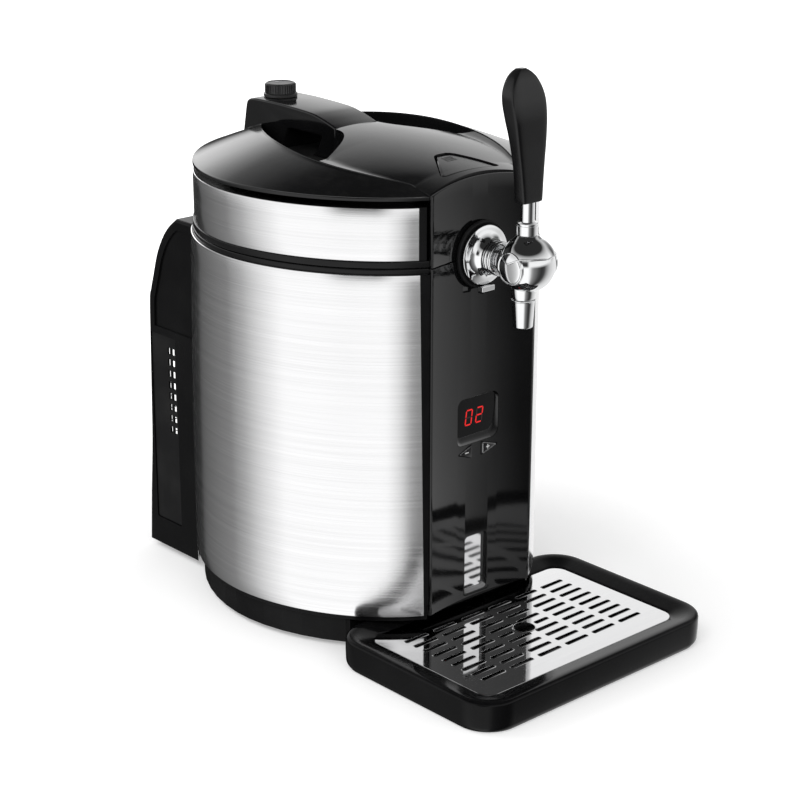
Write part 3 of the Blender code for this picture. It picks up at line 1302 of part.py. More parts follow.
def lid_shell():
    flange = body_outline(BAND_BOTTOM, LID_PLAN_SHARE, 0, NOTCH_HALF, NOTCH_Y)
    wall_inset = SHEET + FIT
    wall = body_outline(BAND_TOP, LID_PLAN_SHARE, wall_inset, NOTCH_HALF + FIT, NOTCH_Y + FIT)
    hollow_inset = wall_inset + SHELL_FLOOR_INSET
    hollow = body_outline(BAND_TOP, LID_PLAN_SHARE, hollow_inset,
                          NOTCH_HALF + SHELL_FLOOR_INSET, NOTCH_Y + SHELL_FLOOR_INSET)
    flange_top = BAND_BOTTOM - GAP
    roof = BAND_TOP
    rings = [ring_at(hollow, roof - ROOF_THICKNESS), ring_at(hollow, LID_BOTTOM),
             ring_at(flange, LID_BOTTOM), ring_at(flange, flange_top),
             ring_at(wall, flange_top), ring_at(wall, roof)]
    piece = make_piece("lid_shell", "gloss_black", *loft(rings), hinge_pivot())
    cut(piece, tap_passage(), "shell_tap_notch")
    slot = box((-LATCH_SLOT_HALF, LATCH_SLOT_FRONT_Y, roof - ROOF_THICKNESS - OVERRUN),
               (LATCH_SLOT_HALF, LATCH_SLOT_REAR_Y, roof + OVERRUN))
    cut(piece, slot, "shell_latch_slot")
    bore = turned([(REGULATOR_RADIUS + FIT, roof - ROOF_THICKNESS - OVERRUN),
                   (REGULATOR_RADIUS + FIT, roof + OVERRUN)], SMALL_ROUND, "Z", (0, KNOB_Y, 0))
    cut(piece, bore, "shell_regulator_hole")
    arm = box((-HINGE_ARM_HALF, edge_y(0, BAND_TOP, LID_PLAN_SHARE, hollow_inset, True),
               HINGE_Z - BARREL_RADIUS * 0.6),
              (HINGE_ARM_HALF, HINGE_Y, BAND_BOTTOM - GAP))
    fuse(piece, arm, "hinge_arm")
    barrel = turned([(BARREL_RADIUS, -HINGE_ARM_HALF), (BARREL_RADIUS, HINGE_ARM_HALF)],
                    SMALL_ROUND, "X", hinge_pivot())
    fuse(piece, barrel, "hinge_barrel")
    pin = turned([(PIN_RADIUS + GAP, -BARREL_HALF_WIDTH), (PIN_RADIUS + GAP, BARREL_HALF_WIDTH)],
                 SMALL_ROUND, "X", hinge_pivot())
    return cut(piece, pin, "hinge_pin_bore")


def lid_band():
    front_x = PANEL_HALF_WIDTH + STRIP_TOP
    outlines = []
    for inset in (0, SHEET):
        right = plan_arc(BAND_TOP, LID_PLAN_SHARE, inset, front_x, 0)
        right[-1] = (0, right[-1][1])
        left = [(-x, y) for x, y in reversed(right[:-1])]
        outlines.append(right + left)
    outline = outlines[0] + list(reversed(outlines[1]))
    return make_piece("lid_band", "brushed_steel", *prism(outline, BAND_BOTTOM, BAND_TOP),
                      hinge_pivot(), True)


def lid_liner():
    low = LID_BOTTOM + GAP
    inset = SHEET + FIT + SHELL_FLOOR_INSET + GAP
    outline = body_outline(BAND_TOP, LID_PLAN_SHARE, inset, NOTCH_HALF + SHELL_FLOOR_INSET + GAP,
                           NOTCH_Y + SHELL_FLOOR_INSET + GAP)
    piece = make_piece("lid_liner", "foam", *prism(outline, low, low + LINER_WALL),
                       hinge_pivot())
    roof = LINER_CEILING_Z
    tub = turned([(LINER_RADIUS, low), (LINER_RADIUS, roof)])
    fuse(piece, tub, "liner_tub")
    inner = turned([(LINER_RADIUS - LINER_WALL, low - OVERRUN),
                    (LINER_RADIUS - LINER_WALL, roof - LINER_WALL)])
    cut(piece, inner, "liner_hollow")
    cut(piece, tap_passage(), "liner_tap_notch")
    slot = box((-LATCH_SLOT_HALF, LATCH_SLOT_FRONT_Y, low - OVERRUN),
               (LATCH_SLOT_HALF, LATCH_SLOT_REAR_Y, low + OVERRUN))
    cut(piece, slot, "liner_latch_slot")
    bore = turned([(REGULATOR_RADIUS + FIT, low - OVERRUN),
                   (REGULATOR_RADIUS + FIT, roof + OVERRUN)], SMALL_ROUND, "Z", (0, KNOB_Y, 0))
    return cut(piece, bore, "liner_regulator_notch")


def lid_front():
    rings = []
    for step in range(PANEL_STEPS + 1):
        x = -PANEL_HALF_WIDTH + 2 * PANEL_HALF_WIDTH * step / PANEL_STEPS
        y = panel_y(x)
        top = BAND_TOP + LID_FRONT_CORNER_RISE
        top += LID_FRONT_ARCH * (1 - (x / PANEL_HALF_WIDTH) ** 2)
        back = y + PANEL_THICKNESS
        rings.append([(x, y, LID_BOTTOM), (x, back, LID_BOTTOM), (x, back, top), (x, y, top)])
    piece = make_piece("lid_front", "gloss_black", *loft(rings), hinge_pivot())
    radius = SHANK_RADIUS + FIT
    notch = turned([(radius, PANEL_CORNER_Y - OVERRUN), (radius, NOTCH_Y + OVERRUN)],
                   SMALL_ROUND, "Y", (0, 0, TAP_Z))
    return cut(piece, notch, "lid_front_tap_notch")


def lid_lobe(side):
    front_x = NOTCH_HALF
    rear_x = BRIDGE_HALF_WIDTH + GAP
    outer = plan_arc(BAND_TOP, LID_PLAN_SHARE, 0, front_x, rear_x, LOBE_ROWS)
    top = []
    bottom = []
    for row in range(LOBE_ROWS + 1):
        inner_y = LOBE_FRONT_Y + (LOBE_REAR_Y - LOBE_FRONT_Y) * row / LOBE_ROWS
        inner = (crease_x(inner_y), inner_y)
        top_row = []
        bottom_row = []
        for column, share in enumerate(LOBE_SHARES):
            x = inner[0] + (outer[row][0] - inner[0]) * share
            y = inner[1] + (outer[row][1] - inner[1]) * share
            low = DOME_BASE
            high = max(dome_z(x, y), DOME_BASE + SHELL_WALL / 2)
            if column >= 2:
                low = max(high - SHELL_WALL, DOME_BASE)
            top_row.append((side * x, y, high))
            bottom_row.append((side * x, y, low))
        top.append(top_row)
        bottom.append(bottom_row)
    name = "lid_lobe_right" if side > 0 else "lid_lobe_left"
    return make_piece(name, "gloss_black", *slab(top, bottom), hinge_pivot(), True)


def lid_spine():
    top = []
    bottom = []
    for row in range(SPINE_ROWS + 1):
        along = row / SPINE_ROWS
        top_row = []
        bottom_row = []
        for column in range(SPINE_COLUMNS + 1):
            across = -1 + 2 * column / SPINE_COLUMNS
            front_y = panel_y(across * PANEL_HALF_WIDTH) + PANEL_THICKNESS + GAP
            y = front_y + (FLARE_END_Y - front_y) * along
            x = across * spine_half(y)
            z = spine_z(x, y)
            top_row.append((x, y, z))
            bottom_row.append((x, y, z - SHELL_WALL))
        top.append(top_row)
        bottom.append(bottom_row)
    piece = make_piece("lid_spine", "gloss_black", *slab(top, bottom), hinge_pivot(), True)
    return cut(piece, button_solid(FIT, OVERRUN), "button_opening")


FLOOR_TOP = BAND_TOP + WELL_FLOOR_RISE
FLOOR_FRONT_Y = -0.0600
FLOOR_REAR_SET_IN = 0.0212
FLOOR_REAR_Y = BODY_REAR - FLOOR_REAR_SET_IN
FLOOR_ROWS = 24
BRIDGE_PROFILE_SHARES = [(0.000, 0.73), (0.06, 0.80), (0.17, 0.90), (0.29, 0.96), (0.58, 1.0),
                         (0.87, 0.99), (0.915, 0.945), (0.94, 0.84), (0.985, 0.11)]
BRIDGE_ARCH_SHARES = [(0.53, 0.24), (0.505, 0.40), (0.475, 0.48), (0.17, 0.485), (0.15, 0.42),
                      (0.19, 0.16)]
BRIDGE_CROWN = 0.0012
BRIDGE_TOP = DOME_BASE + DOME_RISE + BRIDGE_CROWN
REGULATOR_RADIUS = 0.0100
REGULATOR_DROP = 0.0150
REGULATOR_BOTTOM = LINER_CEILING_Z - REGULATOR_DROP
REGULATOR_STUB_RADIUS = 0.0040
REGULATOR_STUB = 0.0040


def lid_floor():
    right = []
    for row in range(FLOOR_ROWS + 1):
        y = FLOOR_FRONT_Y + (FLOOR_REAR_Y - FLOOR_FRONT_Y) * row / FLOOR_ROWS
        right.append((crease_x(y) - 2 * FIT, y))
    outline = right + [(-x, y) for x, y in reversed(right)]
    piece = make_piece("lid_floor", "satin_black", *prism(outline, DOME_BASE, FLOOR_TOP),
                       hinge_pivot())
    bore = turned([(REGULATOR_RADIUS + FIT, DOME_BASE - OVERRUN),
                   (REGULATOR_RADIUS + FIT, FLOOR_TOP + OVERRUN)], SMALL_ROUND, "Z",
                  (0, KNOB_Y, 0))
    return cut(piece, bore, "floor_regulator_hole")


def bridge_handle():
    start = FLARE_END_Y + GAP
    run = BRIDGE_REAR_Y - start
    low = FLOOR_TOP + GAP
    rise = BRIDGE_TOP - low
    outline = [(start, low)]
    outline += [(start + run * along, low + rise * up) for along, up in BRIDGE_PROFILE_SHARES]
    outline += [(BRIDGE_REAR_Y, low), (start + run * 0.55, low)]
    outline += [(start + run * along, low + rise * up) for along, up in BRIDGE_ARCH_SHARES]
    outline += [(start + run * 0.24, low)]
    half = BRIDGE_HALF_WIDTH - GAP
    piece = make_piece("bridge_handle", "gloss_black", *prism(outline, -half, half, "X"),
                       hinge_pivot())
    bore = turned([(REGULATOR_RADIUS + FIT, low - OVERRUN),
                   (REGULATOR_RADIUS + FIT, BRIDGE_TOP + OVERRUN)], SMALL_ROUND, "Z",
                  (0, KNOB_Y, 0))
    return cut(piece, bore, "bridge_regulator_bore")


def pressure_regulator():
    top = BRIDGE_TOP - GAP
    profile = [(REGULATOR_RADIUS, REGULATOR_BOTTOM), (REGULATOR_RADIUS, top),
               (REGULATOR_STUB_RADIUS, top), (REGULATOR_STUB_RADIUS, top + REGULATOR_STUB)]
    make_piece("pressure_regulator", "aluminium",
               *turned(profile, SMALL_ROUND, "Z", (0, KNOB_Y, 0)), hinge_pivot(), True)
    low = BRIDGE_TOP + GAP
    knob_top = low + KNOB_HEIGHT
    bore = REGULATOR_STUB_RADIUS + GAP
    knob = [(bore, low + REGULATOR_STUB), (bore, low), (KNOB_RADIUS, low),
            (KNOB_RADIUS, low + KNOB_HEIGHT * 0.3), (KNOB_RADIUS * 0.9, low + KNOB_HEIGHT * 0.4),
            (KNOB_RADIUS * 0.88, knob_top)]
    make_piece("regulator_knob", "satin_black",
               *turned(knob, SMALL_ROUND, "Z", (0, KNOB_Y, 0)), (0, KNOB_Y, low), True)


# Release button with its latch hook, one rocking piece
BUTTON_RUN = 0.0320
BUTTON_EDGE = 0.0020
BUTTON_BASE_Y = HOOK_FRONT_Y - BUTTON_EDGE
BUTTON_APEX_Y = BUTTON_BASE_Y + BUTTON_RUN
BUTTON_HALF = 0.0300
BUTTON_APEX_HALF = 0.0030
BUTTON_SINK = 0.0008
BUTTON_THICKNESS = 0.0024
BUTTON_ROWS = 4
BUTTON_COLUMNS = 6
HOOK_REACH = 0.0028
HOOK_BOTTOM = DECK_BOTTOM - HOOK_REACH
BUTTON_PIVOT_SET_BACK = 0.0010
BUTTON_PIVOT_RISE = 0.0182
BUTTON_PIVOT_Y = BUTTON_APEX_Y + BUTTON_PIVOT_SET_BACK
BUTTON_PIVOT_Z = BAND_TOP + BUTTON_PIVOT_RISE


def button_solid(grow, tall):
    top = []
    bottom = []
    for row in range(BUTTON_ROWS + 1):
        share = row / BUTTON_ROWS
        y = BUTTON_APEX_Y + grow + (BUTTON_BASE_Y - BUTTON_APEX_Y - 2 * grow) * share
        half = BUTTON_APEX_HALF + (BUTTON_HALF - BUTTON_APEX_HALF) * share + grow * 2
        top_row = []
        bottom_row = []
        for column in range(BUTTON_COLUMNS + 1):
            x = half * (-1 + 2 * column / BUTTON_COLUMNS)
            z = spine_z(x, y) - BUTTON_SINK
            top_row.append((x, y, z + tall))
            bottom_row.append((x, y, z - BUTTON_THICKNESS - tall))
        top.append(top_row)
        bottom.append(bottom_row)
    return slab(top, bottom)


def release_button():
    pivot = (0, BUTTON_PIVOT_Y, BUTTON_PIVOT_Z)
    piece = make_piece("release_button", "satin_black", *button_solid(0, 0), pivot)
    z = spine_z(HOOK_OUTER_X, HOOK_FRONT_Y) - BUTTON_SINK - BUTTON_THICKNESS / 2
    arms = [box((min(side * HOOK_INNER_X, side * HOOK_OUTER_X), HOOK_FRONT_Y, HOOK_BOTTOM),
                (max(side * HOOK_INNER_X, side * HOOK_OUTER_X), HOOK_REAR_Y, z))
            for side in (-1, 1)]
    return fuse(piece, merged(*arms), "latch_arms")


# Hinge bracket on the deck's rear edge, and the pin through it
LUG_THICKNESS = 0.0050
BRACKET_HEIGHT = 0.0240


def hinge_parts():
    start = HINGE_ARM_HALF + GAP
    end = start + LUG_THICKNESS
    pivot = hinge_pivot()
    rear = edge_y(0, DECK_TOP, 1.0, 0, True) + GAP
    low = DECK_TOP - BRACKET_HEIGHT
    back = HINGE_Y + BARREL_RADIUS
    plate_top = HINGE_Z - BARREL_RADIUS - FIT
    seat = edge_y(0, low, 1.0, 0, True) + GAP
    piece = make_piece("hinge_bracket", "satin_black",
                       *box((-end, seat, low), (end, back, plate_top)))
    for side in (-1, 1):
        near = side * start
        far = side * end
        lug = box((min(near, far), rear, plate_top - LUG_THICKNESS),
                  (max(near, far), back, HINGE_Z + BARREL_RADIUS))
        fuse(piece, lug, "lug_left" if side < 0 else "lug_right")
    bore = turned([(PIN_RADIUS + GAP, -BARREL_HALF_WIDTH - OVERRUN),
                   (PIN_RADIUS + GAP, BARREL_HALF_WIDTH + OVERRUN)], SMALL_ROUND, "X", pivot)
    cut(piece, bore, "bracket_pin_bore")
    pin = [(PIN_RADIUS, -BARREL_HALF_WIDTH), (PIN_RADIUS, BARREL_HALF_WIDTH)]
    make_piece("hinge_pin", "chrome", *turned(pin, SMALL_ROUND, "X", pivot), pivot, True)


# Build every piece
base_plinth()
rubber_feet()
wrap_side(-1)
wrap_side(1)
back_panel()
keg_well()
foam_sleeve()
top_deck()
lid_gasket()
front_column()
front_panel()
panel_fittings()
rear_housing()
vent_panels()
rear_grille()
cold_block()
cooling_unit()
cooling_fan()
power_parts()
drip_tray()
tray_plate()
tap_mount()
tap_shank()
tap_body()
tap_nozzle()
tap_bonnet()
lever_stem()
lever_handle()
beer_line()
lid_shell()
lid_band()
lid_liner()
lid_front()
lid_lobe(-1)
lid_lobe(1)
lid_spine()
lid_floor()
bridge_handle()
pressure_regulator()
release_button()
hinge_parts()
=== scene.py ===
# Mini keg beer dispenser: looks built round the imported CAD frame.
# Metres, +Z up, the tap faces -Y. Shapes are written round the axis of the keg
# well, and every mesh is moved back by wellAxisY when it is made.
import json
import math

import bmesh
import bpy
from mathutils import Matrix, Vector, geometry

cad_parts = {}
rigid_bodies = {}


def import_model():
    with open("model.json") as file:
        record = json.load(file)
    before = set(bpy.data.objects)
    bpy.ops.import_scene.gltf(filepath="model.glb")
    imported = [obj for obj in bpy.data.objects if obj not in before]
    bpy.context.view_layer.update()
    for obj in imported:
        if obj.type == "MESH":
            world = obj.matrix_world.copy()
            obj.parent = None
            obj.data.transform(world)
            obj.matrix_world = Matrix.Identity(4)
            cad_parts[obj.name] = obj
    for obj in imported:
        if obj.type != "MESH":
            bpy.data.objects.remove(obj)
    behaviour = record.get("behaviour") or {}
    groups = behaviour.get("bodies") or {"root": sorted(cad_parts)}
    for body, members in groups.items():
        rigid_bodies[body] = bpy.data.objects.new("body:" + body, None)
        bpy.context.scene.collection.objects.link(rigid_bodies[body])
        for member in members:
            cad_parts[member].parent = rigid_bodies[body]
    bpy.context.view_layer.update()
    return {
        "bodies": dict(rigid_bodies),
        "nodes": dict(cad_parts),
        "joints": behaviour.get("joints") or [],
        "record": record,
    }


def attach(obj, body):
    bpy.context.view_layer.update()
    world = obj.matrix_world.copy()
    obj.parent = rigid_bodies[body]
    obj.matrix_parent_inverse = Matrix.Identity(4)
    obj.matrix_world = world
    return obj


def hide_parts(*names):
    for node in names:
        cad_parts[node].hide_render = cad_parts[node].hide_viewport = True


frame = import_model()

wellAxisY = 0.049
clearance = 0.0003
overrun = 0.004
tapAxisZ = 0.3113
knobAxis = (0, 0.1, 0)
regulatorHole = 0.0106

body = {
    "halfWidth": 0.1349, "front": 0.1556, "rear": 0.1552, "power": 1.9,
    "leanShare": 0.10, "leanPower": 2.3, "lidShare": 0.99,
}
level = {
    "plinthTop": 0.0295, "wrapBottom": 0.0298,
    "wrapTop": 0.3055, "deckBottom": 0.30555, "deckTop": 0.3100, "lidBottom": 0.3104,
    "bandBottom": 0.3161, "bandTop": 0.3558, "domeBase": 0.3561,
}
panel = {
    "half": 0.0541, "cornerY": -0.1419, "hollow": 0.0062, "thickness": 0.0030,
    "stripTop": 0.0068, "stripBottom": 0.0036, "tapHole": 0.0086,
}
notchHalf = panel["half"] + clearance


# curves that the body, the lid and the panel share
def rearDepth(z):
    return body["rear"] * (1 - body["leanShare"] * (z / level["bandTop"]) ** body["leanPower"])


def planArc(z, share, inset, frontX, rearX, steps):
    # right half of the body's plan, from the front edge round to the back
    half = body["halfWidth"] * share - inset
    power = body["power"]
    start = -math.acos((frontX / half) ** (power / 2))
    end = math.acos((max(rearX, 0) / half) ** (power / 2))
    points = []
    for step in range(steps + 1):
        angle = start + (end - start) * step / steps
        depth = (rearDepth(z) if angle > 0 else body["front"]) * share - inset
        x = half * abs(math.cos(angle)) ** (2 / power)
        y = math.copysign(depth * abs(math.sin(angle)) ** (2 / power), angle)
        points.append((x, y))
    return points


def mirrored(right):
    return right + [(-x, y) for x, y in reversed(right[:-1])]


def bodyOutline(z, share, inset, frontX, frontY, steps=48):
    right = [(frontX, frontY)] + planArc(z, share, inset, frontX, 0, steps)
    right[-1] = (0, right[-1][1])
    return mirrored(right)


def panelY(x):
    return panel["cornerY"] + panel["hollow"] * (1 - (x / panel["half"]) ** 2)


notchY = panelY(0) + panel["thickness"] + clearance


def stripX(z):
    share = (z - level["wrapBottom"]) / (level["wrapTop"] - level["wrapBottom"])
    low, high = panel["stripBottom"], panel["stripTop"]
    return panel["half"] + low + (high - low) * share


# mesh helpers
def turnAxes(point, axis):
    u, v, w = point
    if axis == "X":
        return (w, u, v)
    if axis == "Y":
        return (u, w, v)
    return (u, v, w)


def loft(rings, closed=False):
    count = len(rings[0])
    points = [p for ring in rings for p in ring]
    faces = []
    for row in range(len(rings) if closed else len(rings) - 1):
        here = row * count
        there = ((row + 1) % len(rings)) * count
        for column in range(count):
            after = (column + 1) % count
            faces.append((here + column, here + after, there + after, there + column))
    if not closed:
        faces.append(tuple(range(count)))
        faces.append(tuple(range((len(rings) - 1) * count, len(rings) * count)))
    return points, faces


def atHeight(outline, z):
    return [(x, y, z) for x, y in outline]


def prism(outline, low, high, axis="Z"):
    return loft([[turnAxes((u, v, w), axis) for u, v in outline] for w in (low, high)])


def turned(profile, axis="Z", center=(0, 0, 0), steps=64, closed=False):
    rings = []
    for radius, along in profile:
        ring = []
        for step in range(steps):
            angle = 2 * math.pi * step / steps
            point = turnAxes((radius * math.cos(angle), radius * math.sin(angle), along), axis)
            ring.append(tuple(point[i] + center[i] for i in range(3)))
        rings.append(ring)
    return loft(rings, closed)


def slab(top, bottom):
    rows, columns = len(top), len(top[0])
    points = [p for row in top for p in row] + [p for row in bottom for p in row]
    base = rows * columns
    faces = []
    for row in range(rows - 1):
        for column in range(columns - 1):
            corner = row * columns + column
            quad = (corner, corner + 1, corner + columns + 1, corner + columns)
            faces.append(quad)
            faces.append(tuple(base + index for index in reversed(quad)))
    border = list(range(columns))
    border += [row * columns + columns - 1 for row in range(1, rows)]
    border += [(rows - 1) * columns + column for column in range(columns - 2, -1, -1)]
    border += [row * columns for row in range(rows - 2, 0, -1)]
    for index, corner in enumerate(border):
        after = border[(index + 1) % len(border)]
        faces.append((after, corner, base + corner, base + after))
    return points, faces


def corners(lowX, lowY, highX, highY):
    return [(highX, lowY), (highX, highY), (lowX, highY), (lowX, lowY)]


def block(low, high):
    outline = corners(*low[:2], *high[:2])
    return prism(outline[-1:] + outline[:-1], low[2], high[2])


def joined(*solids):
    points, faces = [], []
    for solidPoints, solidFaces in solids:
        base = len(points)
        points += solidPoints
        faces += [tuple(base + index for index in face) for face in solidFaces]
    return points, faces


def roundedOutline(points, radii, steps=8):
    # a closed outline with each corner turned into an arc of its own radius
    made = []
    for index, point in enumerate(points):
        here = Vector(point)
        back = (Vector(points[index - 1]) - here).normalized()
        ahead = (Vector(points[(index + 1) % len(points)]) - here).normalized()
        radius = radii[index] if isinstance(radii, (list, tuple)) else radii
        half = math.acos(max(-1, min(1, back.dot(ahead)))) / 2
        reach = radius / math.tan(half)
        start, end = here + back * reach, here + ahead * reach
        middle = here + (back + ahead).normalized() * (radius / math.sin(half))
        first, last = start - middle, end - middle
        turn = math.atan2(first.x * last.y - first.y * last.x, first.dot(last))
        for step in range(steps + 1):
            angle = turn * step / steps
            spun = Vector((first.x * math.cos(angle) - first.y * math.sin(angle),
                           first.x * math.sin(angle) + first.y * math.cos(angle)))
            made.append(tuple(middle + spun))
    return made


def roundedBox(halfX, lowY, highY, radius, steps=8):
    return roundedOutline(corners(-halfX, lowY, halfX, highY), radius, steps)


def shrunk(outline, inset):
    # every point moved along the mean of its two edge normals, for an outline in either sense
    area = sum(a[0] * b[1] - b[0] * a[1] for a, b in zip(outline, outline[1:] + outline[:1]))
    side = 1 if area > 0 else -1
    count = len(outline)
    moved = []
    for index, here in enumerate(outline):
        before, after = outline[index - 1], outline[(index + 1) % count]
        first = Vector((here[0] - before[0], here[1] - before[1]))
        second = Vector((after[0] - here[0], after[1] - here[1]))
        first = first.normalized() if first.length > 1e-9 else second.normalized()
        second = second.normalized() if second.length > 1e-9 else first
        ahead = Vector((-first.y, first.x)) * side
        normal = (Vector((-first.y, first.x)) + Vector((-second.y, second.x))) * side
        normal = normal.normalized() if normal.length > 1e-6 else ahead
        miter = max(normal.dot(ahead), 0.5)
        moved.append((here[0] + normal.x * inset / miter, here[1] + normal.y * inset / miter))
    return moved


def softEdges(half, radius, steps=5):
    # (place, inset) pairs across a piece with both edges rounded
    pairs = []
    for step in range(steps + 1):
        angle = math.pi / 2 * step / steps
        pairs.append((-half + radius * (1 - math.cos(angle)), radius * (1 - math.sin(angle))))
    return pairs + [(-place, inset) for place, inset in reversed(pairs)]


def newObject(name, solid):
    points, faces = solid
    mesh = bpy.data.meshes.new(name)
    mesh.from_pydata([(x, y + wellAxisY, z) for x, y, z in points], [], faces)
    work = bmesh.new()
    work.from_mesh(mesh)
    bmesh.ops.remove_doubles(work, verts=work.verts, dist=1e-6)
    bmesh.ops.recalc_face_normals(work, faces=work.faces)
    work.to_mesh(mesh)
    work.free()
    piece = bpy.data.objects.new(name, mesh)
    bpy.context.scene.collection.objects.link(piece)
    return piece


def softLoft(name, low, high, radius, steps, outlineAt, axis="Z"):
    # a plate whose outline draws in at both ends, which rounds its edges
    middle = (low + high) / 2
    return newObject(name, loft([
        [turnAxes((u, v, middle + place), axis) for u, v in outlineAt(give)]
        for place, give in softEdges((high - low) / 2, radius, steps)]))


def settle(piece):
    # the modifiers' result becomes the piece's own plain mesh
    bpy.context.view_layer.update()
    depsgraph = bpy.context.evaluated_depsgraph_get()
    mesh = bpy.data.meshes.new_from_object(piece.evaluated_get(depsgraph),
                                           preserve_all_data_layers=True, depsgraph=depsgraph)
    piece.modifiers.clear()
    piece.data = mesh
    return piece


def carve(piece, *solids, operation="DIFFERENCE"):
    tools = []
    for solid in solids:
        tool = newObject("tool", solid)
        modifier = piece.modifiers.new("carve", "BOOLEAN")
        modifier.operation = operation
        modifier.solver = "EXACT"
        modifier.object = tool
        tools.append(tool)
    settle(piece)
    for tool in tools:
        bpy.data.objects.remove(tool)
    return piece


def bevelled(piece, width, segments=2, angle=32):
    modifier = piece.modifiers.new("edge", "BEVEL")
    modifier.width = width
    modifier.segments = segments
    modifier.limit_method = "ANGLE"
    modifier.angle_limit = math.radians(angle)
    modifier.harden_normals = True
    modifier.use_clamp_overlap = True
    return settle(piece)


def dissolved(piece, angle=0.6):
    work = bmesh.new()
    work.from_mesh(piece.data)
    bmesh.ops.remove_doubles(work, verts=work.verts, dist=1e-6)
    bmesh.ops.dissolve_limit(work, angle_limit=math.radians(angle), verts=work.verts,
                             edges=work.edges)
    work.to_mesh(piece.data)
    work.free()
    return piece


def dress(piece, material, rides, replaced=(), sharp=38):
    mesh = piece.data
    if not mesh.has_custom_normals:
        mesh.shade_smooth()
        mesh.set_sharp_from_angle(angle=math.radians(sharp))
    mesh.materials.clear()
    mesh.materials.append(materials[material])
    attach(piece, rides)
    if replaced:
        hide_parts(*([replaced] if isinstance(replaced, str) else replaced))
    return piece


def copyOf(node, name):
    # a merged copy of a CAD node's mesh, as the start of a finer piece
    piece = bpy.data.objects.new(name, frame["nodes"][node].data.copy())
    bpy.context.scene.collection.objects.link(piece)
    piece.data.materials.clear()
    return dissolved(piece)


# materials
materials = {}
dustTone = (0.42, 0.41, 0.39)


class Graph:
    # a short way to add and join shader nodes
    def __init__(self, tree):
        self.tree = tree

    def add(self, kind, **settings):
        node = self.tree.nodes.new(kind)
        for key, value in settings.items():
            setattr(node, key, value)
        return node

    def join(self, output, target):
        self.tree.links.new(output, target)

    def position(self, stretch=(1, 1, 1), source="Object"):
        coordinates = self.add("ShaderNodeTexCoord")
        mapping = self.add("ShaderNodeMapping")
        mapping.inputs["Scale"].default_value = stretch
        self.join(coordinates.outputs[source], mapping.inputs["Vector"])
        return mapping.outputs["Vector"]

    def noise(self, scale, stretch=(1, 1, 1), detail=4, source="Object", roughness=0.5):
        texture = self.add("ShaderNodeTexNoise")
        texture.inputs["Scale"].default_value = scale
        texture.inputs["Detail"].default_value = detail
        texture.inputs["Roughness"].default_value = roughness
        self.join(self.position(stretch, source), texture.inputs["Vector"])
        return texture.outputs["Fac"]

    def ranged(self, value, low, high, start=0.3, end=0.7):
        remap = self.add("ShaderNodeMapRange")
        remap.inputs["From Min"].default_value = start
        remap.inputs["From Max"].default_value = end
        remap.inputs["To Min"].default_value = low
        remap.inputs["To Max"].default_value = high
        self.join(value, remap.inputs["Value"])
        return remap.outputs["Result"]

    def math(self, operation, first, second):
        node = self.add("ShaderNodeMath", operation=operation)
        for index, value in enumerate((first, second)):
            if isinstance(value, (int, float)):
                node.inputs[index].default_value = value
            else:
                self.join(value, node.inputs[index])
        return node.outputs["Value"]

    def blend(self, factor, first, second):
        mix = self.add("ShaderNodeMix", data_type="RGBA")
        self.join(factor, mix.inputs["Factor"])
        for socket, value in zip((mix.inputs[6], mix.inputs[7]), (first, second)):
            if isinstance(value, (tuple, list)):
                socket.default_value = (*value, 1)
            else:
                self.join(value, socket)
        return mix.outputs[2]

    def upward(self, start, end):
        # from 0 to 1 as the surface turns to face up
        facing = self.add("ShaderNodeNewGeometry")
        split = self.add("ShaderNodeSeparateXYZ")
        self.join(facing.outputs["Normal"], split.inputs["Vector"])
        return self.ranged(split.outputs["Z"], 0, 1, start, end)

    def bump(self, height, strength, distance):
        node = self.add("ShaderNodeBump")
        node.inputs["Strength"].default_value = strength
        node.inputs["Distance"].default_value = distance
        self.join(height, node.inputs["Height"])
        return node.outputs["Normal"]


def startMaterial(name, sockets):
    material = bpy.data.materials.new(name)
    material.use_nodes = True
    graph = Graph(material.node_tree)
    shader = material.node_tree.nodes["Principled BSDF"]
    for socket, value in sockets.items():
        shader.inputs[socket].default_value = value
    materials[name] = material
    return graph, shader


def plainMaterial(name, color, worn, rough, roughSpread, grain, bumpDepth=0.0, bumpScale=0.0,
                  dust=0.0, metallic=0.0, sockets=None):
    # colour drifts to the worn shade, roughness drifts with smudges, fine texture as bump
    graph, shader = startMaterial(name, {"Metallic": metallic, **(sockets or {})})
    wear = graph.noise(grain, detail=6)
    smudge = graph.noise(grain * 0.31, stretch=(1, 1.3, 0.7), detail=5, roughness=0.62)
    tone = graph.blend(graph.ranged(wear, 0, 1, 0.42, 0.72), color, worn)
    if dust:
        fine = graph.ranged(graph.noise(grain * 9, detail=3), 0, dust, 0.45, 0.85)
        tone = graph.blend(graph.math("MULTIPLY", graph.upward(0.35, 1), fine), tone, dustTone)
    graph.join(tone, shader.inputs["Base Color"])
    spread = graph.ranged(smudge, rough - roughSpread, rough + roughSpread)
    graph.join(spread, shader.inputs["Roughness"])
    if bumpDepth:
        graph.join(graph.bump(graph.noise(bumpScale, detail=3), 1, bumpDepth),
                   shader.inputs["Normal"])
    return shader


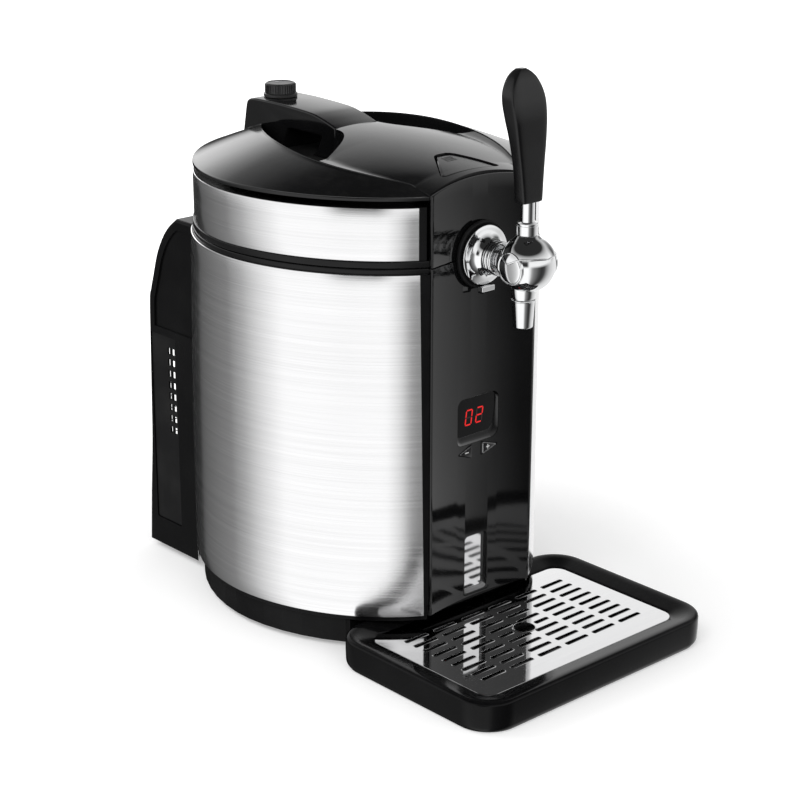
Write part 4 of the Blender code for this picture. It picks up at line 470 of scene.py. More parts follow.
def brushedMaterial(name, color, pale, rough, spread, stretch, source, strength, sockets,
                    tangent=None):
    # metal whose grain is a noise drawn out along the brushing
    graph, shader = startMaterial(name, {"Metallic": 1.0, **sockets})
    streaks = graph.noise(1, stretch=stretch, detail=3, source=source, roughness=0.7)
    broad = graph.noise(1, stretch=tuple(value * 0.22 for value in stretch), detail=2,
                        source=source)
    smudge = graph.noise(13, detail=5)
    both = graph.math("ADD", graph.math("MULTIPLY", streaks, 0.6),
                      graph.math("MULTIPLY", broad, 0.4))
    graph.join(graph.blend(graph.ranged(both, 0, 1, 0.36, 0.64), color, pale),
               shader.inputs["Base Color"])
    level = graph.ranged(both, rough - spread, rough + spread, 0.36, 0.64)
    graph.join(graph.math("ADD", level, graph.ranged(smudge, -0.02, 0.035)),
               shader.inputs["Roughness"])
    graph.join(graph.bump(both, strength, 0.0002), shader.inputs["Normal"])
    if tangent:
        along = graph.add("ShaderNodeTangent", direction_type="UV_MAP")
        along.uv_map = tangent
        graph.join(along.outputs["Tangent"], shader.inputs["Tangent"])
    return shader


# the wraps are brushed round the body, so their grain follows the "skin" map's first axis
brushedMaterial("brushedSteel", (0.70, 0.70, 0.705), (0.80, 0.80, 0.805), 0.17, 0.035,
                (5, 900, 1), "UV", 0.35,
                {"Anisotropic": 0.80, "Anisotropic Rotation": 0.25}, tangent="skin")
brushedMaterial("mirrorSteel", (0.74, 0.74, 0.745), (0.78, 0.78, 0.785), 0.055, 0.015,
                (14, 220, 14), "Object", 0.05, {})
brushedMaterial("chrome", (0.74, 0.745, 0.75), (0.77, 0.775, 0.78), 0.045, 0.015,
                (60, 60, 60), "Object", 0.02, {})
brushedMaterial("turnedSteel", (0.58, 0.58, 0.59), (0.66, 0.66, 0.67), 0.24, 0.05,
                (40, 40, 700), "Object", 0.2, {})
brushedMaterial("aluminium", (0.66, 0.67, 0.68), (0.72, 0.73, 0.74), 0.34, 0.06,
                (30, 30, 260), "Object", 0.25, {})
brushedMaterial("brass", (0.66, 0.52, 0.26), (0.72, 0.58, 0.32), 0.22, 0.05,
                (80, 80, 80), "Object", 0.1, {})
plainMaterial("glossBlack", (0.0035, 0.0036, 0.0038), (0.006, 0.006, 0.0063), 0.085, 0.035, 14,
              dust=0.012, bumpDepth=0.00003, bumpScale=60,
              sockets={"Specular IOR Level": 0.45})
plainMaterial("lidBlack", (0.0042, 0.0043, 0.0046), (0.007, 0.007, 0.0074), 0.15, 0.04, 14,
              dust=0.012, bumpDepth=0.00003, bumpScale=60,
              sockets={"Specular IOR Level": 0.30, "Coat Weight": 0.1,
                       "Coat Roughness": 0.10})
plainMaterial("satinBlack", (0.005, 0.005, 0.0053), (0.009, 0.009, 0.0093), 0.24, 0.06, 30,
              bumpDepth=0.00006, bumpScale=900, dust=0.02,
              sockets={"Specular IOR Level": 0.08})
plainMaterial("mattBlack", (0.009, 0.009, 0.0095), (0.016, 0.016, 0.016), 0.46, 0.07, 34,
              bumpDepth=0.00012, bumpScale=1400, dust=0.03,
              sockets={"Specular IOR Level": 0.10})
plainMaterial("rimBlack", (0.004, 0.004, 0.0043), (0.007, 0.007, 0.0073), 0.20, 0.05, 26,
              dust=0.015,
              sockets={"Specular IOR Level": 0.20})
plainMaterial("rubber", (0.018, 0.018, 0.018), (0.032, 0.031, 0.030), 0.74, 0.08, 60,
              bumpDepth=0.00015, bumpScale=1600)
plainMaterial("foam", (0.76, 0.75, 0.70), (0.69, 0.67, 0.60), 0.86, 0.05, 40,
              bumpDepth=0.0006, bumpScale=900)
plainMaterial("linerWhite", (0.62, 0.62, 0.60), (0.55, 0.55, 0.52), 0.42, 0.06, 24,
              bumpDepth=0.0001, bumpScale=500)
plainMaterial("ceramic", (0.80, 0.79, 0.76), (0.73, 0.72, 0.69), 0.48, 0.06, 50)
plainMaterial("circuitGreen", (0.012, 0.105, 0.045), (0.018, 0.135, 0.060), 0.36, 0.07, 90,
              bumpDepth=0.0001, bumpScale=700)
plainMaterial("signWhite", (0.72, 0.72, 0.72), (0.66, 0.66, 0.66), 0.42, 0.05, 60)
plainMaterial("keyDark", (0.004, 0.004, 0.0045), (0.007, 0.007, 0.0075), 0.16, 0.04, 40)
# pale print on the keys and knob, and also the painted highlight along the minus key's upper edge
plainMaterial("keyLine", (0.42, 0.42, 0.43), (0.50, 0.50, 0.50), 0.30, 0.05, 60)
plainMaterial("ledOff", (0.030, 0.004, 0.004), (0.036, 0.006, 0.006), 0.30, 0.05, 60)
plainMaterial("clearHose", (0.80, 0.82, 0.82), (0.74, 0.76, 0.75), 0.16, 0.04, 50,
              sockets={"Transmission Weight": 0.85, "IOR": 1.45})
plainMaterial("smokedWindow", (0.003, 0.003, 0.0033), (0.005, 0.005, 0.0053), 0.07, 0.03, 40,
              sockets={"Specular IOR Level": 0.18})
glow = plainMaterial("ledRed", (0.50, 0.004, 0.004), (0.60, 0.006, 0.005), 0.35, 0.05, 200)
glow.inputs["Emission Color"].default_value = (1.0, 0.006, 0.006, 1)
glow.inputs["Emission Strength"].default_value = 0.46


# steel wraps and lid band
wrap = {"sheet": 0.0009, "rearHalf": 0.0955, "arcSteps": 80, "levels": 22, "edge": 0.00028}


def skinMap(piece):
    # first axis runs round the body in metres, second axis is height
    mesh = piece.data
    layer = mesh.uv_layers.new(name="skin")
    for face in mesh.polygons:
        first = None
        for loop in face.loop_indices:
            x, y, z = mesh.vertices[mesh.loops[loop].vertex_index].co
            around = math.atan2(x, -(y - wellAxisY))
            if first is None:
                first = around
            if around - first > math.pi:
                around -= 2 * math.pi
            if first - around > math.pi:
                around += 2 * math.pi
            layer.data[loop].uv = (around * 0.14, z)
    return piece


def handed(name, side):
    return name + ("Right" if side > 0 else "Left")


def handedNode(name, side):
    return name + ("_right" if side > 0 else "_left")


def wrapSide(side):
    low, high, edge = level["wrapBottom"], level["wrapTop"], wrap["edge"]
    softRows = ((0, edge), (edge * 0.3, edge * 0.3), (edge, 0))
    rows = [(low + place, inset) for place, inset in softRows]
    rows += [(low + (high - low) * step / wrap["levels"], 0) for step in range(1, wrap["levels"])]
    rows += [(high - place, inset) for place, inset in reversed(softRows)]
    rings = []
    for z, inset in rows:
        outer, inner = (planArc(z, 1, reach, stripX(z), wrap["rearHalf"], wrap["arcSteps"])
                        for reach in (inset, wrap["sheet"]))
        # the sheet's two upright edges are rounded too
        ends = []
        for last, before, inside in ((outer[0], outer[1], inner[0]),
                                     (outer[-1], outer[-2], inner[-1])):
            end = Vector(last)
            inward = (Vector(inside) - end).normalized()
            ends.append([tuple(end + inward * edge),
                         tuple(end - (end - Vector(before)).normalized() * edge)])
        whole = ends[0] + outer[1:-1] + ends[1][::-1] + inner[::-1]
        rings.append([(side * x, y, z) for x, y in whole])
    piece = skinMap(newObject(handed("steelWrap", side), loft(rings)))
    dress(piece, "brushedSteel", "cabinet", handedNode("steel_wrap", side),
          sharp=55)


def lidBand():
    low, high = level["bandBottom"], level["bandTop"]
    edge = wrap["edge"]
    rings = []
    for z, inset in ((low, edge), (low + edge * 0.3, edge * 0.3), (low + edge, 0),
                     (low + 0.013, 0), (low + 0.026, 0),
                     (high - edge, 0), (high - edge * 0.3, edge * 0.3), (high, edge)):
        outline = []
        for reach, order in ((inset, 1), (wrap["sheet"], -1)):
            right = planArc(level["bandTop"], body["lidShare"], reach,
                            panel["half"] + panel["stripTop"], 0, wrap["arcSteps"])
            right[-1] = (0, right[-1][1])
            outline += mirrored(right)[::order]
        rings.append(atHeight(outline, z))
    piece = skinMap(newObject("lidBand", loft(rings)))
    dress(piece, "brushedSteel", "lid", "lid_band", sharp=55)


for hand in (-1, 1):
    wrapSide(hand)
lidBand()
print("steel wraps and lid band made")


# deck, lid base ring and lid shell
tapPassage = turned([(0.0165, panel["cornerY"]), (0.0165, -0.0792)], "Y", (0, 0, tapAxisZ), 40)


def latchSlot(low, high):
    return block((-0.0190, -0.1255, low), (0.0190, -0.1065, high))


def topDeck():
    low, high = level["deckBottom"], level["deckTop"]
    piece = softLoft("topDeck", low, high, 0.0009, 3, lambda give: bodyOutline(
        low, body["lidShare"], give, notchHalf + give, notchY + give, 72))
    hole = turned([(0.0886, low - overrun), (0.0886, high + overrun)], "Z", (0, 0, 0), 96)
    floor = high - 0.0018
    groove = turned([(0.0907, floor), (0.0953, floor), (0.0953, high + overrun),
                     (0.0907, high + overrun)], "Z", (0, 0, 0), 96, True)
    carve(piece, hole, groove, tapPassage, latchSlot(low - overrun, high + overrun))
    dress(piece, "rimBlack", "cabinet", "top_deck", sharp=32)
    # a skirt under the deck closes the joint behind the top edge of the steel
    rings = []
    for share, z in ((0, low - 0.0040), (0, low + 0.0005), (1, low + 0.0005),
                     (1, low - 0.0040)):
        reach = wrap["sheet"] + 0.0002 + 0.0012 * share
        rings.append(atHeight(bodyOutline(level["wrapTop"], 1.0, reach, notchHalf + reach,
                                          notchY + reach, 72), z))
    skirt = newObject("topDeckSkirt", loft(rings, True))
    dress(skirt, "rimBlack", "cabinet", None, sharp=32)


topDeck()


# front panel, display, keys and polished insert
display = {
    "half": 0.0220, "low": 0.1600, "high": 0.1980, "corner": 0.0062, "depth": 0.0014,
    "chinRise": 0.0066, "digitHeight": 0.0118, "digitWidth": 0.0062, "bar": 0.00115,
    "slant": 0.14, "digits": {-0.0078: "abcdef", 0.0034: "abged"}, "middleZ": 0.1812,
}
insert = {"half": 0.0122, "low": 0.0330, "high": 0.0820, "corner": 0.0034}
keys = {"z": 0.1535, "height": 0.0110, "proud": 0.0006}


def panelSweep(name, low, topAt, steps=56):
    rings = []
    half, thick, soft = panel["half"], panel["thickness"], 0.0005
    columns = [-half, -half + soft * 0.3, -half + soft]
    columns += [-half + 2 * half * step / steps for step in range(1, steps)]
    columns += [half - soft, half - soft * 0.3, half]
    for index, x in enumerate(columns):
        give = {0: soft, 1: soft * 0.3}.get(min(index, len(columns) - 1 - index), 0)
        front, back = panelY(x) + give, panelY(x) + thick
        top = topAt(x)
        rings.append([(x, front, low + soft), (x, front + soft * 0.3, low + soft * 0.3),
                      (x, front + soft, low), (x, back, low), (x, back, top),
                      (x, front + soft, top), (x, front + soft * 0.3, top - soft * 0.3),
                      (x, front, top - soft)])
    return newObject(name, loft(rings))


def windowOutline(window, grow, radii, steps):
    return roundedOutline(corners(-window["half"] - grow, window["low"] - grow,
                                  window["half"] + grow, window["high"] + grow), radii, steps)


def displayOutline(grow):
    corner = display["corner"]
    return windowOutline(display, grow, [corner * 1.2, corner, corner, corner * 0.8], 7)


def insertOutline(grow):
    return windowOutline(insert, grow, insert["corner"], 6)


def keyOutline(tipX, baseX, grow, corner):
    away = math.copysign(1, tipX)
    half = keys["height"] / 2 + grow
    points = [(baseX - away * grow, keys["z"] - half), (tipX + away * grow * 2, keys["z"]),
              (baseX - away * grow, keys["z"] + half)]
    return roundedOutline(points, corner, 4)


keyShapes = {"minus": (-0.0213, -0.0062), "plus": (0.0222, 0.0046)}


def frontPanel():
    piece = panelSweep("frontPanel", level["plinthTop"] + clearance, lambda x: 0.3096)
    front, back = panel["cornerY"] - overrun, notchY + overrun
    tools = [prism(displayOutline(0), front, back, "Y"), prism(insertOutline(0), front, back, "Y")]
    tools += [prism(keyOutline(*shape, 0.0005, 0.0008), front, back, "Y")
              for shape in keyShapes.values()]
    tools.append(turned([(panel["tapHole"], front), (panel["tapHole"], back)], "Y",
                        (0, 0, tapAxisZ), 40))
    carve(piece, *tools)
    dissolved(piece, 0.05)
    dress(piece, "glossBlack", "cabinet", "front_panel", sharp=28)


def slopedRim(name, outer, inner, outerY, innerY, material):
    # a scooped rim between two outlines with the same number of points
    rings = []
    for step in range(6):
        share = step / 5
        deep = math.sin(share * math.pi / 2)
        ring = []
        for (ax, az), (bx, bz) in zip(outer, inner):
            x, z = ax + (bx - ax) * share, az + (bz - az) * share
            ring.append((x, outerY(ax) + (innerY - outerY(ax)) * deep, z))
        rings.append(ring)
    back = [[(x, innerY + 0.0004, z) for x, z in inner],
            [(x, max(outerY(x), innerY) + 0.0004, z) for x, z in outer]]
    piece = newObject(name, loft(rings + back, True))
    return dress(piece, material, "cabinet", None, sharp=40)


def displayParts():
    front = panelY(0) + display["depth"]
    outer = displayOutline(-0.0002)
    low, high = display["low"], display["high"]
    inner = []
    for x, z in outer:
        # narrow rim on top and left, a deep chin below that climbs the right side
        share = (z - low) / (high - low)
        lift = display["chinRise"] * (1 - share) ** 3
        shift = 0.0008 + 0.0052 * max(0, x / display["half"]) * (1 - share) ** 1.6
        inner.append((x * (1 - shift / display["half"]), z + lift - 0.0006 * share))
    # the chin of this rim is painted grey where it faces up, a painted highlight
    slopedRim("displayRim", outer, inner, lambda x: panelY(x) + 0.0003, front - 0.0001,
              "bezelPaintedTopLight")
    pane = newObject("displayWindow", prism(displayOutline(-0.0003), front, front + 0.0012, "Y"))
    dress(pane, "smokedWindow", "cabinet", "display_window")
    segments = {
        "a": ((0.0, 1.0), (1.0, 1.0)), "b": ((1.0, 1.0), (1.0, 0.5)),
        "c": ((1.0, 0.5), (1.0, 0.0)), "d": ((1.0, 0.0), (0.0, 0.0)),
        "e": ((0.0, 0.0), (0.0, 0.5)), "f": ((0.0, 0.5), (0.0, 1.0)),
        "g": ((0.0, 0.5), (1.0, 0.5)),
    }
    lit, unlit = [], []
    bar, tall, wide = display["bar"] / 2, display["digitHeight"], display["digitWidth"]
    for center, shown in display["digits"].items():
        for key, (start, end) in segments.items():
            ends = []
            for across, up in (start, end):
                z = display["middleZ"] + (up - 0.5) * tall
                ends.append(Vector((center + (across - 0.5) * wide
                                    + (up - 0.5) * tall * display["slant"], z)))
            way = (ends[1] - ends[0]).normalized()
            off = Vector((-way.y, way.x)) * bar
            near, far = ends[0] + way * bar * 0.35, ends[1] - way * bar * 0.35
            shape = [near, near + way * bar + off, far - way * bar + off, far,
                     far - way * bar - off, near + way * bar - off]
            solid = prism([tuple(p) for p in shape], front - 0.00006, front + 0.0003, "Y")
            (lit if key in shown else unlit).append(solid)
    dress(newObject("ledDigits", joined(*lit)), "ledRed", "cabinet", "led_display")
    dress(newObject("ledDigitsOff", joined(*unlit)), "ledOff", "cabinet", None)
    module = newObject("ledModule", block((-0.0150, front + 0.0015, 0.1670),
                                          (0.0150, -0.1268, 0.1910)))
    dress(bevelled(module, 0.0004), "mattBlack", "cabinet", None)


def keyParts():
    for name, (tip, base) in keyShapes.items():
        middle = (tip + base) / 2
        front = panelY(middle) - keys["proud"]
        rings = []
        for step, give in ((0, 0.0005), (0.0001, 0.0002), (0.0004, 0), (0.0090, 0)):
            rings.append([(x, min(front + step, -0.1278), z)
                          for x, z in keyOutline(tip, base, -give, 0.0008 - give * 0.5)])
        key = newObject(name + "Button", loft(rings))
        dress(key, "keyDark", name + "_key", name + "_button", sharp=50)
        # a thin pale line round the plus key, and a bar on its flat side; the minus key keeps the
        # pale line only along its lit upper edge, a painted highlight
        line = keyOutline(tip, base, -0.0009, 0.0005)
        inner = keyOutline(tip, base, -0.00115, 0.0004)
        # painted highlight: on the minus key the pale line runs only along the upper edge
        if name == "minus":
            line, inner = line[len(line) // 3:], inner[len(inner) // 3:]
            line, inner = line[:2 * len(line) // 3], inner[:2 * len(inner) // 3]
        lines = []
        for index in range(len(line) if name == "plus" else len(line) - 1):
            after = (index + 1) % len(line)
            quad = [line[index], line[after], inner[after], inner[index]]
            lines.append(prism(quad, front - 0.00004, front + 0.0002, "Y"))
        if name == "plus":
            lines.append(prism([(base + 0.0006, keys["z"] - 0.0036),
                                (base + 0.0013, keys["z"] - 0.0033),
                                (base + 0.0013, keys["z"] + 0.0033),
                                (base + 0.0006, keys["z"] + 0.0036)],
                               front - 0.00005, front + 0.0002, "Y"))
        dress(newObject(name + "Outline", joined(*lines)), "keyLine", name + "_key")
        center = base + (tip - base) * 0.36
        long, thick = 0.0019, 0.00042
        spans = [(-long, -thick, long, thick)]
        if name == "plus":
            spans += [(-thick, -long, thick, -thick), (-thick, thick, thick, long)]
        marks = [prism(corners(center + lowX, keys["z"] + lowZ, center + highX, keys["z"] + highZ),
                       front - 0.00006, front + 0.0002, "Y")
                 for lowX, lowZ, highX, highZ in spans]
        dress(newObject(name + "Sign", joined(*marks)), "signWhite", name + "_key")


def insertParts():
    back = notchY
    mirror = newObject("polishedInsert", block((-0.0146, back, 0.0309),
                                               (0.0146, back + 0.0012, 0.0844)))
    dress(bevelled(mirror, 0.0002), "mirrorSteel", "cabinet", "polished_insert")
    outer = insertOutline(-0.0002)
    inner = []
    for x, z in outer:
        share = max(0, 1 - (z - insert["low"]) / 0.010)
        top = max(0, 1 - (insert["high"] - z) / 0.006)
        narrow = 0.0004 + 0.0010 * share
        inner.append((x * (1 - narrow / insert["half"]), z + 0.0026 * share ** 1.5 - 0.0006 * top))
    # the ledge of this rim is painted grey where it faces up, a painted highlight
    slopedRim("insertRim", outer, inner, lambda x: panelY(x) + 0.0003, back - 0.0002,
              "bezelPaintedTopLight")


bezel = plainMaterial("bezelPaintedTopLight", (0.20, 0.20, 0.202), (0.26, 0.26, 0.262), 0.24, 0.05, 60)
# painted light: faces that turn up, the moulded chin most, are painted grey as if lit from above,
# and the walls that climb from it stay black
bezelGraph = Graph(materials["bezelPaintedTopLight"].node_tree)
bezelColor = bezel.inputs["Base Color"]
bezelGraph.join(bezelGraph.blend(bezelGraph.upward(0.30, 0.42), (0.004, 0.004, 0.0043),
                                 bezelColor.links[0].from_socket), bezelColor)
frontPanel()
displayParts()
keyParts()
insertParts()
print("front panel, display, keys and insert made")


# repeated details, made with one geometry nodes group
def repeatGroup():
    tree = bpy.data.node_groups.new("repeatPiece", "GeometryNodeTree")
    face = tree.interface
    face.new_socket("Geometry", in_out="OUTPUT", socket_type="NodeSocketGeometry")
    sockets = {}
    for name, kind in (("Geometry", "Geometry"), ("Count", "Int"), ("Step", "Vector"),
                       ("Turn", "Float"), ("Centre", "Vector"), ("Material", "Material")):
        entry = face.new_socket(name, in_out="INPUT", socket_type="NodeSocket" + kind)
        sockets[name] = entry.identifier
    nodes = {name: tree.nodes.new(kind) for name, kind in (
        ("start", "NodeGroupInput"), ("end", "NodeGroupOutput"),
        ("line", "GeometryNodeMeshLine"), ("index", "GeometryNodeInputIndex"),
        ("angle", "ShaderNodeMath"), ("spin", "ShaderNodeCombineXYZ"),
        ("copies", "GeometryNodeInstanceOnPoints"), ("placed", "GeometryNodeTransform"),
        ("real", "GeometryNodeRealizeInstances"), ("painted", "GeometryNodeSetMaterial"))}
    nodes["angle"].operation = "MULTIPLY"
    for source, output, target, entry in (
            ("start", "Count", "line", "Count"), ("start", "Step", "line", "Offset"),
            ("index", 0, "angle", 0), ("start", "Turn", "angle", 1), ("angle", 0, "spin", "Z"),
            ("line", "Mesh", "copies", "Points"), ("start", "Geometry", "copies", "Instance"),
            ("spin", "Vector", "copies", "Rotation"),
            ("copies", "Instances", "placed", "Geometry"),
            ("start", "Centre", "placed", "Translation"),
            ("placed", "Geometry", "real", "Geometry"),
            ("real", "Geometry", "painted", "Geometry"),
            ("start", "Material", "painted", "Material"),
            ("painted", "Geometry", "end", "Geometry")):
        tree.links.new(nodes[source].outputs[output], nodes[target].inputs[entry])
    return tree, sockets


repeatTree, repeatSockets = repeatGroup()


def repeated(name, solid, material, count, centre, step=(0, 0, 0), turn=0.0):
    points, faces = solid
    piece = newObject(name, ([(x, y - wellAxisY, z) for x, y, z in points], faces))
    modifier = piece.modifiers.new("repeat", "NODES")
    modifier.node_group = repeatTree
    values = {"Count": count, "Step": step, "Turn": turn, "Material": materials[material],
              "Centre": (centre[0], centre[1] + wellAxisY, centre[2])}
    for key, value in values.items():
        modifier[repeatSockets[key]] = value
    return settle(piece)


def smoothTable(rows, steps):
    # Catmull-Rom through rows of numbers, each span cut into equal steps
    padded = [rows[0]] + list(rows) + [rows[-1]]
    made = []
    for index in range(1, len(padded) - 2):
        a, b, c, d = padded[index - 1:index + 3]
        for step in range(steps):
            t = step / steps
            made.append(tuple(0.5 * (2 * q + (r - p) * t + (2 * p - 5 * q + 4 * r - s) * t * t
                                     + (3 * q - p - 3 * r + s) * t ** 3)
                              for p, q, r, s in zip(a, b, c, d)))
    return made + [tuple(rows[-1])]


# tap
tap = {
    "ballY": -0.1870, "ballZ": 0.3128, "ball": 0.0206, "flat": 0.0170, "bonnet": 0.0222,
    "bonnetBore": 0.0212, "stemY": -0.1855, "nozzleY": -0.1830, "bore": 0.0035,
    "shankHole": 0.0083, "steps": 72,
}


def onShank(name, profile, material, node):
    solid = turned(profile, "Y", (0, 0, tapAxisZ), tap["steps"], True)
    return dress(newObject(name, solid), material, "cabinet", node, sharp=50)


def ballProfile(radius, rows=48):
    angles = [math.pi * row / rows for row in range(1, rows)]
    return [(radius * math.sin(angle), -radius * math.cos(angle)) for angle in angles]


def arcPoints(centerR, centerA, radius, start, end, steps):
    # points of an arc in (radius, along) space, angles in degrees
    made = []
    for step in range(steps + 1):
        angle = math.radians(start + (end - start) * step / steps)
        made.append((centerR + radius * math.cos(angle), centerA + radius * math.sin(angle)))
    return made


def tapMount():
    seatBack, seatFront, hole = -0.13743, -0.14043, tap["shankHole"]
    profile = [(hole, seatBack), (0.0256, seatBack), (0.0260, seatBack - 0.0004)]
    profile += arcPoints(0.0250, seatFront + 0.0010, 0.0010, 0, -90, 5)
    profile += [(0.0243, seatFront), (0.0240, seatFront + 0.0003), (hole, seatFront + 0.0003)]
    onShank("tapSeat", profile, "mattBlack", "tap_seat")
    back = seatFront - clearance
    bell = [(0.0226, back), (0.0230, back - 0.0004), (0.0230, back - 0.0013)]
    bell += arcPoints(0.0222, back - 0.0014, 0.0008, 0, -70, 5)
    bell += smoothTable([(0.0205, back - 0.0026), (0.0172, back - 0.0036),
                         (0.0143, back - 0.0056), (0.0125, back - 0.0084),
                         (0.0119, -0.1512), (0.0116, -0.1520)], 5)
    onShank("tapFlange", [(hole, back)] + bell + [(hole, -0.1520)], "chrome",
            "tap_flange")
    collar = [(hole, -0.1523), (0.0124, -0.1523)]
    collar += arcPoints(0.0124, -0.1529, 0.0006, 90, 0, 4)
    collar += [(0.0130, -0.1548), (0.0127, -0.1551), (0.0127, -0.1555), (0.0130, -0.1558),
               (0.0130, -0.1578), (0.0127, -0.1581), (0.0127, -0.1584)]
    collar += arcPoints(0.0122, -0.1590, 0.0008, 30, -90, 5)
    collar += [(hole, -0.1598)]
    onShank("tapCollarNut", collar, "chrome", "tap_collar_nut")
    nut = newObject("tapLockNut", turned([(0.0140, -0.1321), (0.0140, -0.1266)], "Y",
                                         (0, 0, tapAxisZ), 6))
    carve(nut, turned([(hole, -0.1361), (hole, -0.1226)], "Y", (0, 0, tapAxisZ), 40))
    dress(bevelled(nut, 0.0007, 3), "turnedSteel", "cabinet", "tap_lock_nut")
    tab = newObject("tapTab", block((-0.0065, -0.14643, 0.28360), (0.0065, -0.14073, 0.28800)))
    dress(bevelled(tab, 0.0007, 3), "chrome", "cabinet", "tap_tab")
    lip = newObject("tapTabLip", block((-0.0062, -0.1460, 0.28245), (0.0062, -0.1409, 0.28345)))
    dress(bevelled(lip, 0.0003, 2), "mattBlack", "cabinet", None)


def tapBody():
    # ball with two side flats, neck towards the cabinet and outlet stub, then the bores
    center = (0, tap["ballY"], tap["ballZ"])
    piece = newObject("tapBody", turned(ballProfile(tap["ball"]), "X", center, 96))
    neck = [(0.0100, -0.1640), (0.0105, -0.1644), (0.0105, -0.1652), (0.0118, -0.1655),
            (0.0118, -0.1662), (0.0105, -0.1665), (0.0105, -0.1673), (0.0122, -0.1676),
            (0.0122, -0.1684), (0.0110, -0.1687), (0.0110, tap["ballY"])]
    stub = [(0.0085, 0.2863), (0.0088, 0.2868), (0.0090, 0.2885), (0.0096, 0.2930),
            (0.0098, 0.3000), (0.0080, 0.3100)]
    carve(piece, turned(neck, "Y", (0, 0, tapAxisZ), 64),
          turned(stub, "Z", (0, tap["nozzleY"], 0), 64), operation="UNION")
    size = 0.03
    sideFlat = corners(tap["ballY"] - size, tap["ballZ"] - size, tap["ballY"] + size,
                       tap["ballZ"] + size)
    cuts = [prism(sideFlat, side * tap["flat"], side * (tap["flat"] + size), "X")
            for side in (-1, 1)]
    cuts.append(turned([(tap["bore"], 0.26), (tap["bore"], 0.3148)], "Z",
                       (0, tap["nozzleY"], 0), 32))
    cuts.append(turned([(tap["bore"], -0.16), (tap["bore"], tap["nozzleY"])], "Y",
                       (0, 0, tapAxisZ), 32))
    carve(piece, *cuts)
    dress(piece, "chrome", "cabinet", "tap_body", sharp=35)


def tapNozzle():
    tip, ring = 0.2644, 0.2845
    profile = [(tap["bore"], ring + 0.0015), (0.0085, ring + 0.0015)]
    profile += arcPoints(0.0084, ring + 0.0007, 0.0008, 80, -80, 8)
    profile += [(0.00845, ring - 0.0002), (0.0085, ring - 0.0015), (0.0083, ring - 0.0040),
                (0.0074, tip + 0.0006), (0.00725, tip + 0.0002), (0.0070, tip),
                (0.0064, tip), (0.0062, tip + 0.0004), (tap["bore"], tip + 0.0030)]
    solid = turned(profile, "Z", (0, tap["nozzleY"], 0), 64, True)
    dress(newObject("tapNozzle", solid), "chrome", "cabinet", "tap_nozzle", sharp=40)


def tapBonnet():
    center = (0, tap["ballY"], tap["ballZ"])
    piece = newObject("tapBonnet", turned(ballProfile(tap["bonnet"]), "X", center, 96))
    boss = turned([(0.0120, 0.0186), (0.0104, 0.0204), (0.0090, 0.0216), (0.0084, 0.0223),
                   (0.0082, 0.0224)], "Z", (0, tap["stemY"], tap["ballZ"]), 64)
    carve(piece, boss, operation="UNION")
    # the skirt's lower edge is a wave whose point hangs over each side cap
    wave = [(-0.030, 0.0080), (-0.022, 0.0082)]
    wave += smoothTable([(-0.0160, 0.0088), (-0.0100, 0.0086), (-0.0050, 0.0066),
                         (-0.0008, 0.0044)], 5)
    wave += smoothTable([(0.0008, 0.0044), (0.0050, 0.0066), (0.0100, 0.0090),
                         (0.0160, 0.0110)], 5)
    wave += [(0.030, 0.0112), (0.030, -0.030), (-0.030, -0.030)]
    skirt = prism([(tap["ballY"] + y, tap["ballZ"] + z) for y, z in wave], -0.03, 0.03, "X")
    notch = turned([(0.0128, -0.1600), (0.0128, tap["ballY"] + overrun)], "Y",
                   (0, 0, tapAxisZ), 48)
    carve(piece, turned(ballProfile(tap["bonnetBore"]), "X", center, 96), skirt, notch)
    caps = []
    for side in (-1, 1):
        cap = [(0.0125, 0.0173), (0.0125, 0.0186)]
        cap += arcPoints(0.0117, 0.0186, 0.0008, 0, 90, 4)
        cap += [(0.0112, 0.0190), (0.0109, 0.0190)]
        cap += [(0.0109 * math.cos(a), 0.0191 + 0.0013 * math.sin(a))
                for a in (math.pi / 2 * step / 10 for step in range(10))]
        cap += [(0.0004, 0.0204)]
        caps.append(turned([(r, side * along) for r, along in cap], "X", center, 72))
    carve(piece, *caps, operation="UNION")
    dress(piece, "chrome", "tap_lever", "tap_bonnet", sharp=38)
    # a rolled bead along the skirt's wave
    reach = tap["bonnet"] + 0.0001
    for side in (-1, 1):
        line = []
        for y, z in wave[:-2]:
            left = reach * reach - y * y - z * z
            if left > 0 and y < 0.0150:
                line.append(Vector((side * math.sqrt(left), y, z)))
        front = Vector((0, -math.sqrt(reach * reach - 0.0082 ** 2), 0.0082))
        start = line[0]
        line = [front.lerp(start, share / 6).normalized() * reach for share in range(6)] + line
        rings = []
        for index, point in enumerate(line):
            ahead = line[min(index + 1, len(line) - 1)] - line[max(index - 1, 0)]
            outward = point.normalized()
            across = ahead.normalized().cross(outward)
            rings.append([tuple(point + 0.00055 * (math.cos(turn) * outward
                                                  + math.sin(turn) * across)
                                + Vector(center))
                          for turn in (2 * math.pi * step / 10 for step in range(10))])
        bead = newObject(handed("bonnetBead", side), loft(rings))
        dress(bead, "chrome", "tap_lever", None, sharp=60)


def leverStem():
    profile = [(0.0070, 0.3353), (0.0078, 0.3357), (0.0078, 0.3425), (0.0074, 0.3427),
               (0.0074, 0.3430), (0.0079, 0.3432)]
    profile += arcPoints(0.0074, 0.3443, 0.0005, 0, 80, 4)
    profile += [(0.0056, 0.3450), (0.0052, 0.3453), (0.0052, 0.3640)]
    solid = turned(profile, "Z", (0, tap["stemY"], 0), 56)
    dress(newObject("leverStem", solid), "chrome", "tap_lever", "lever_stem", sharp=40)


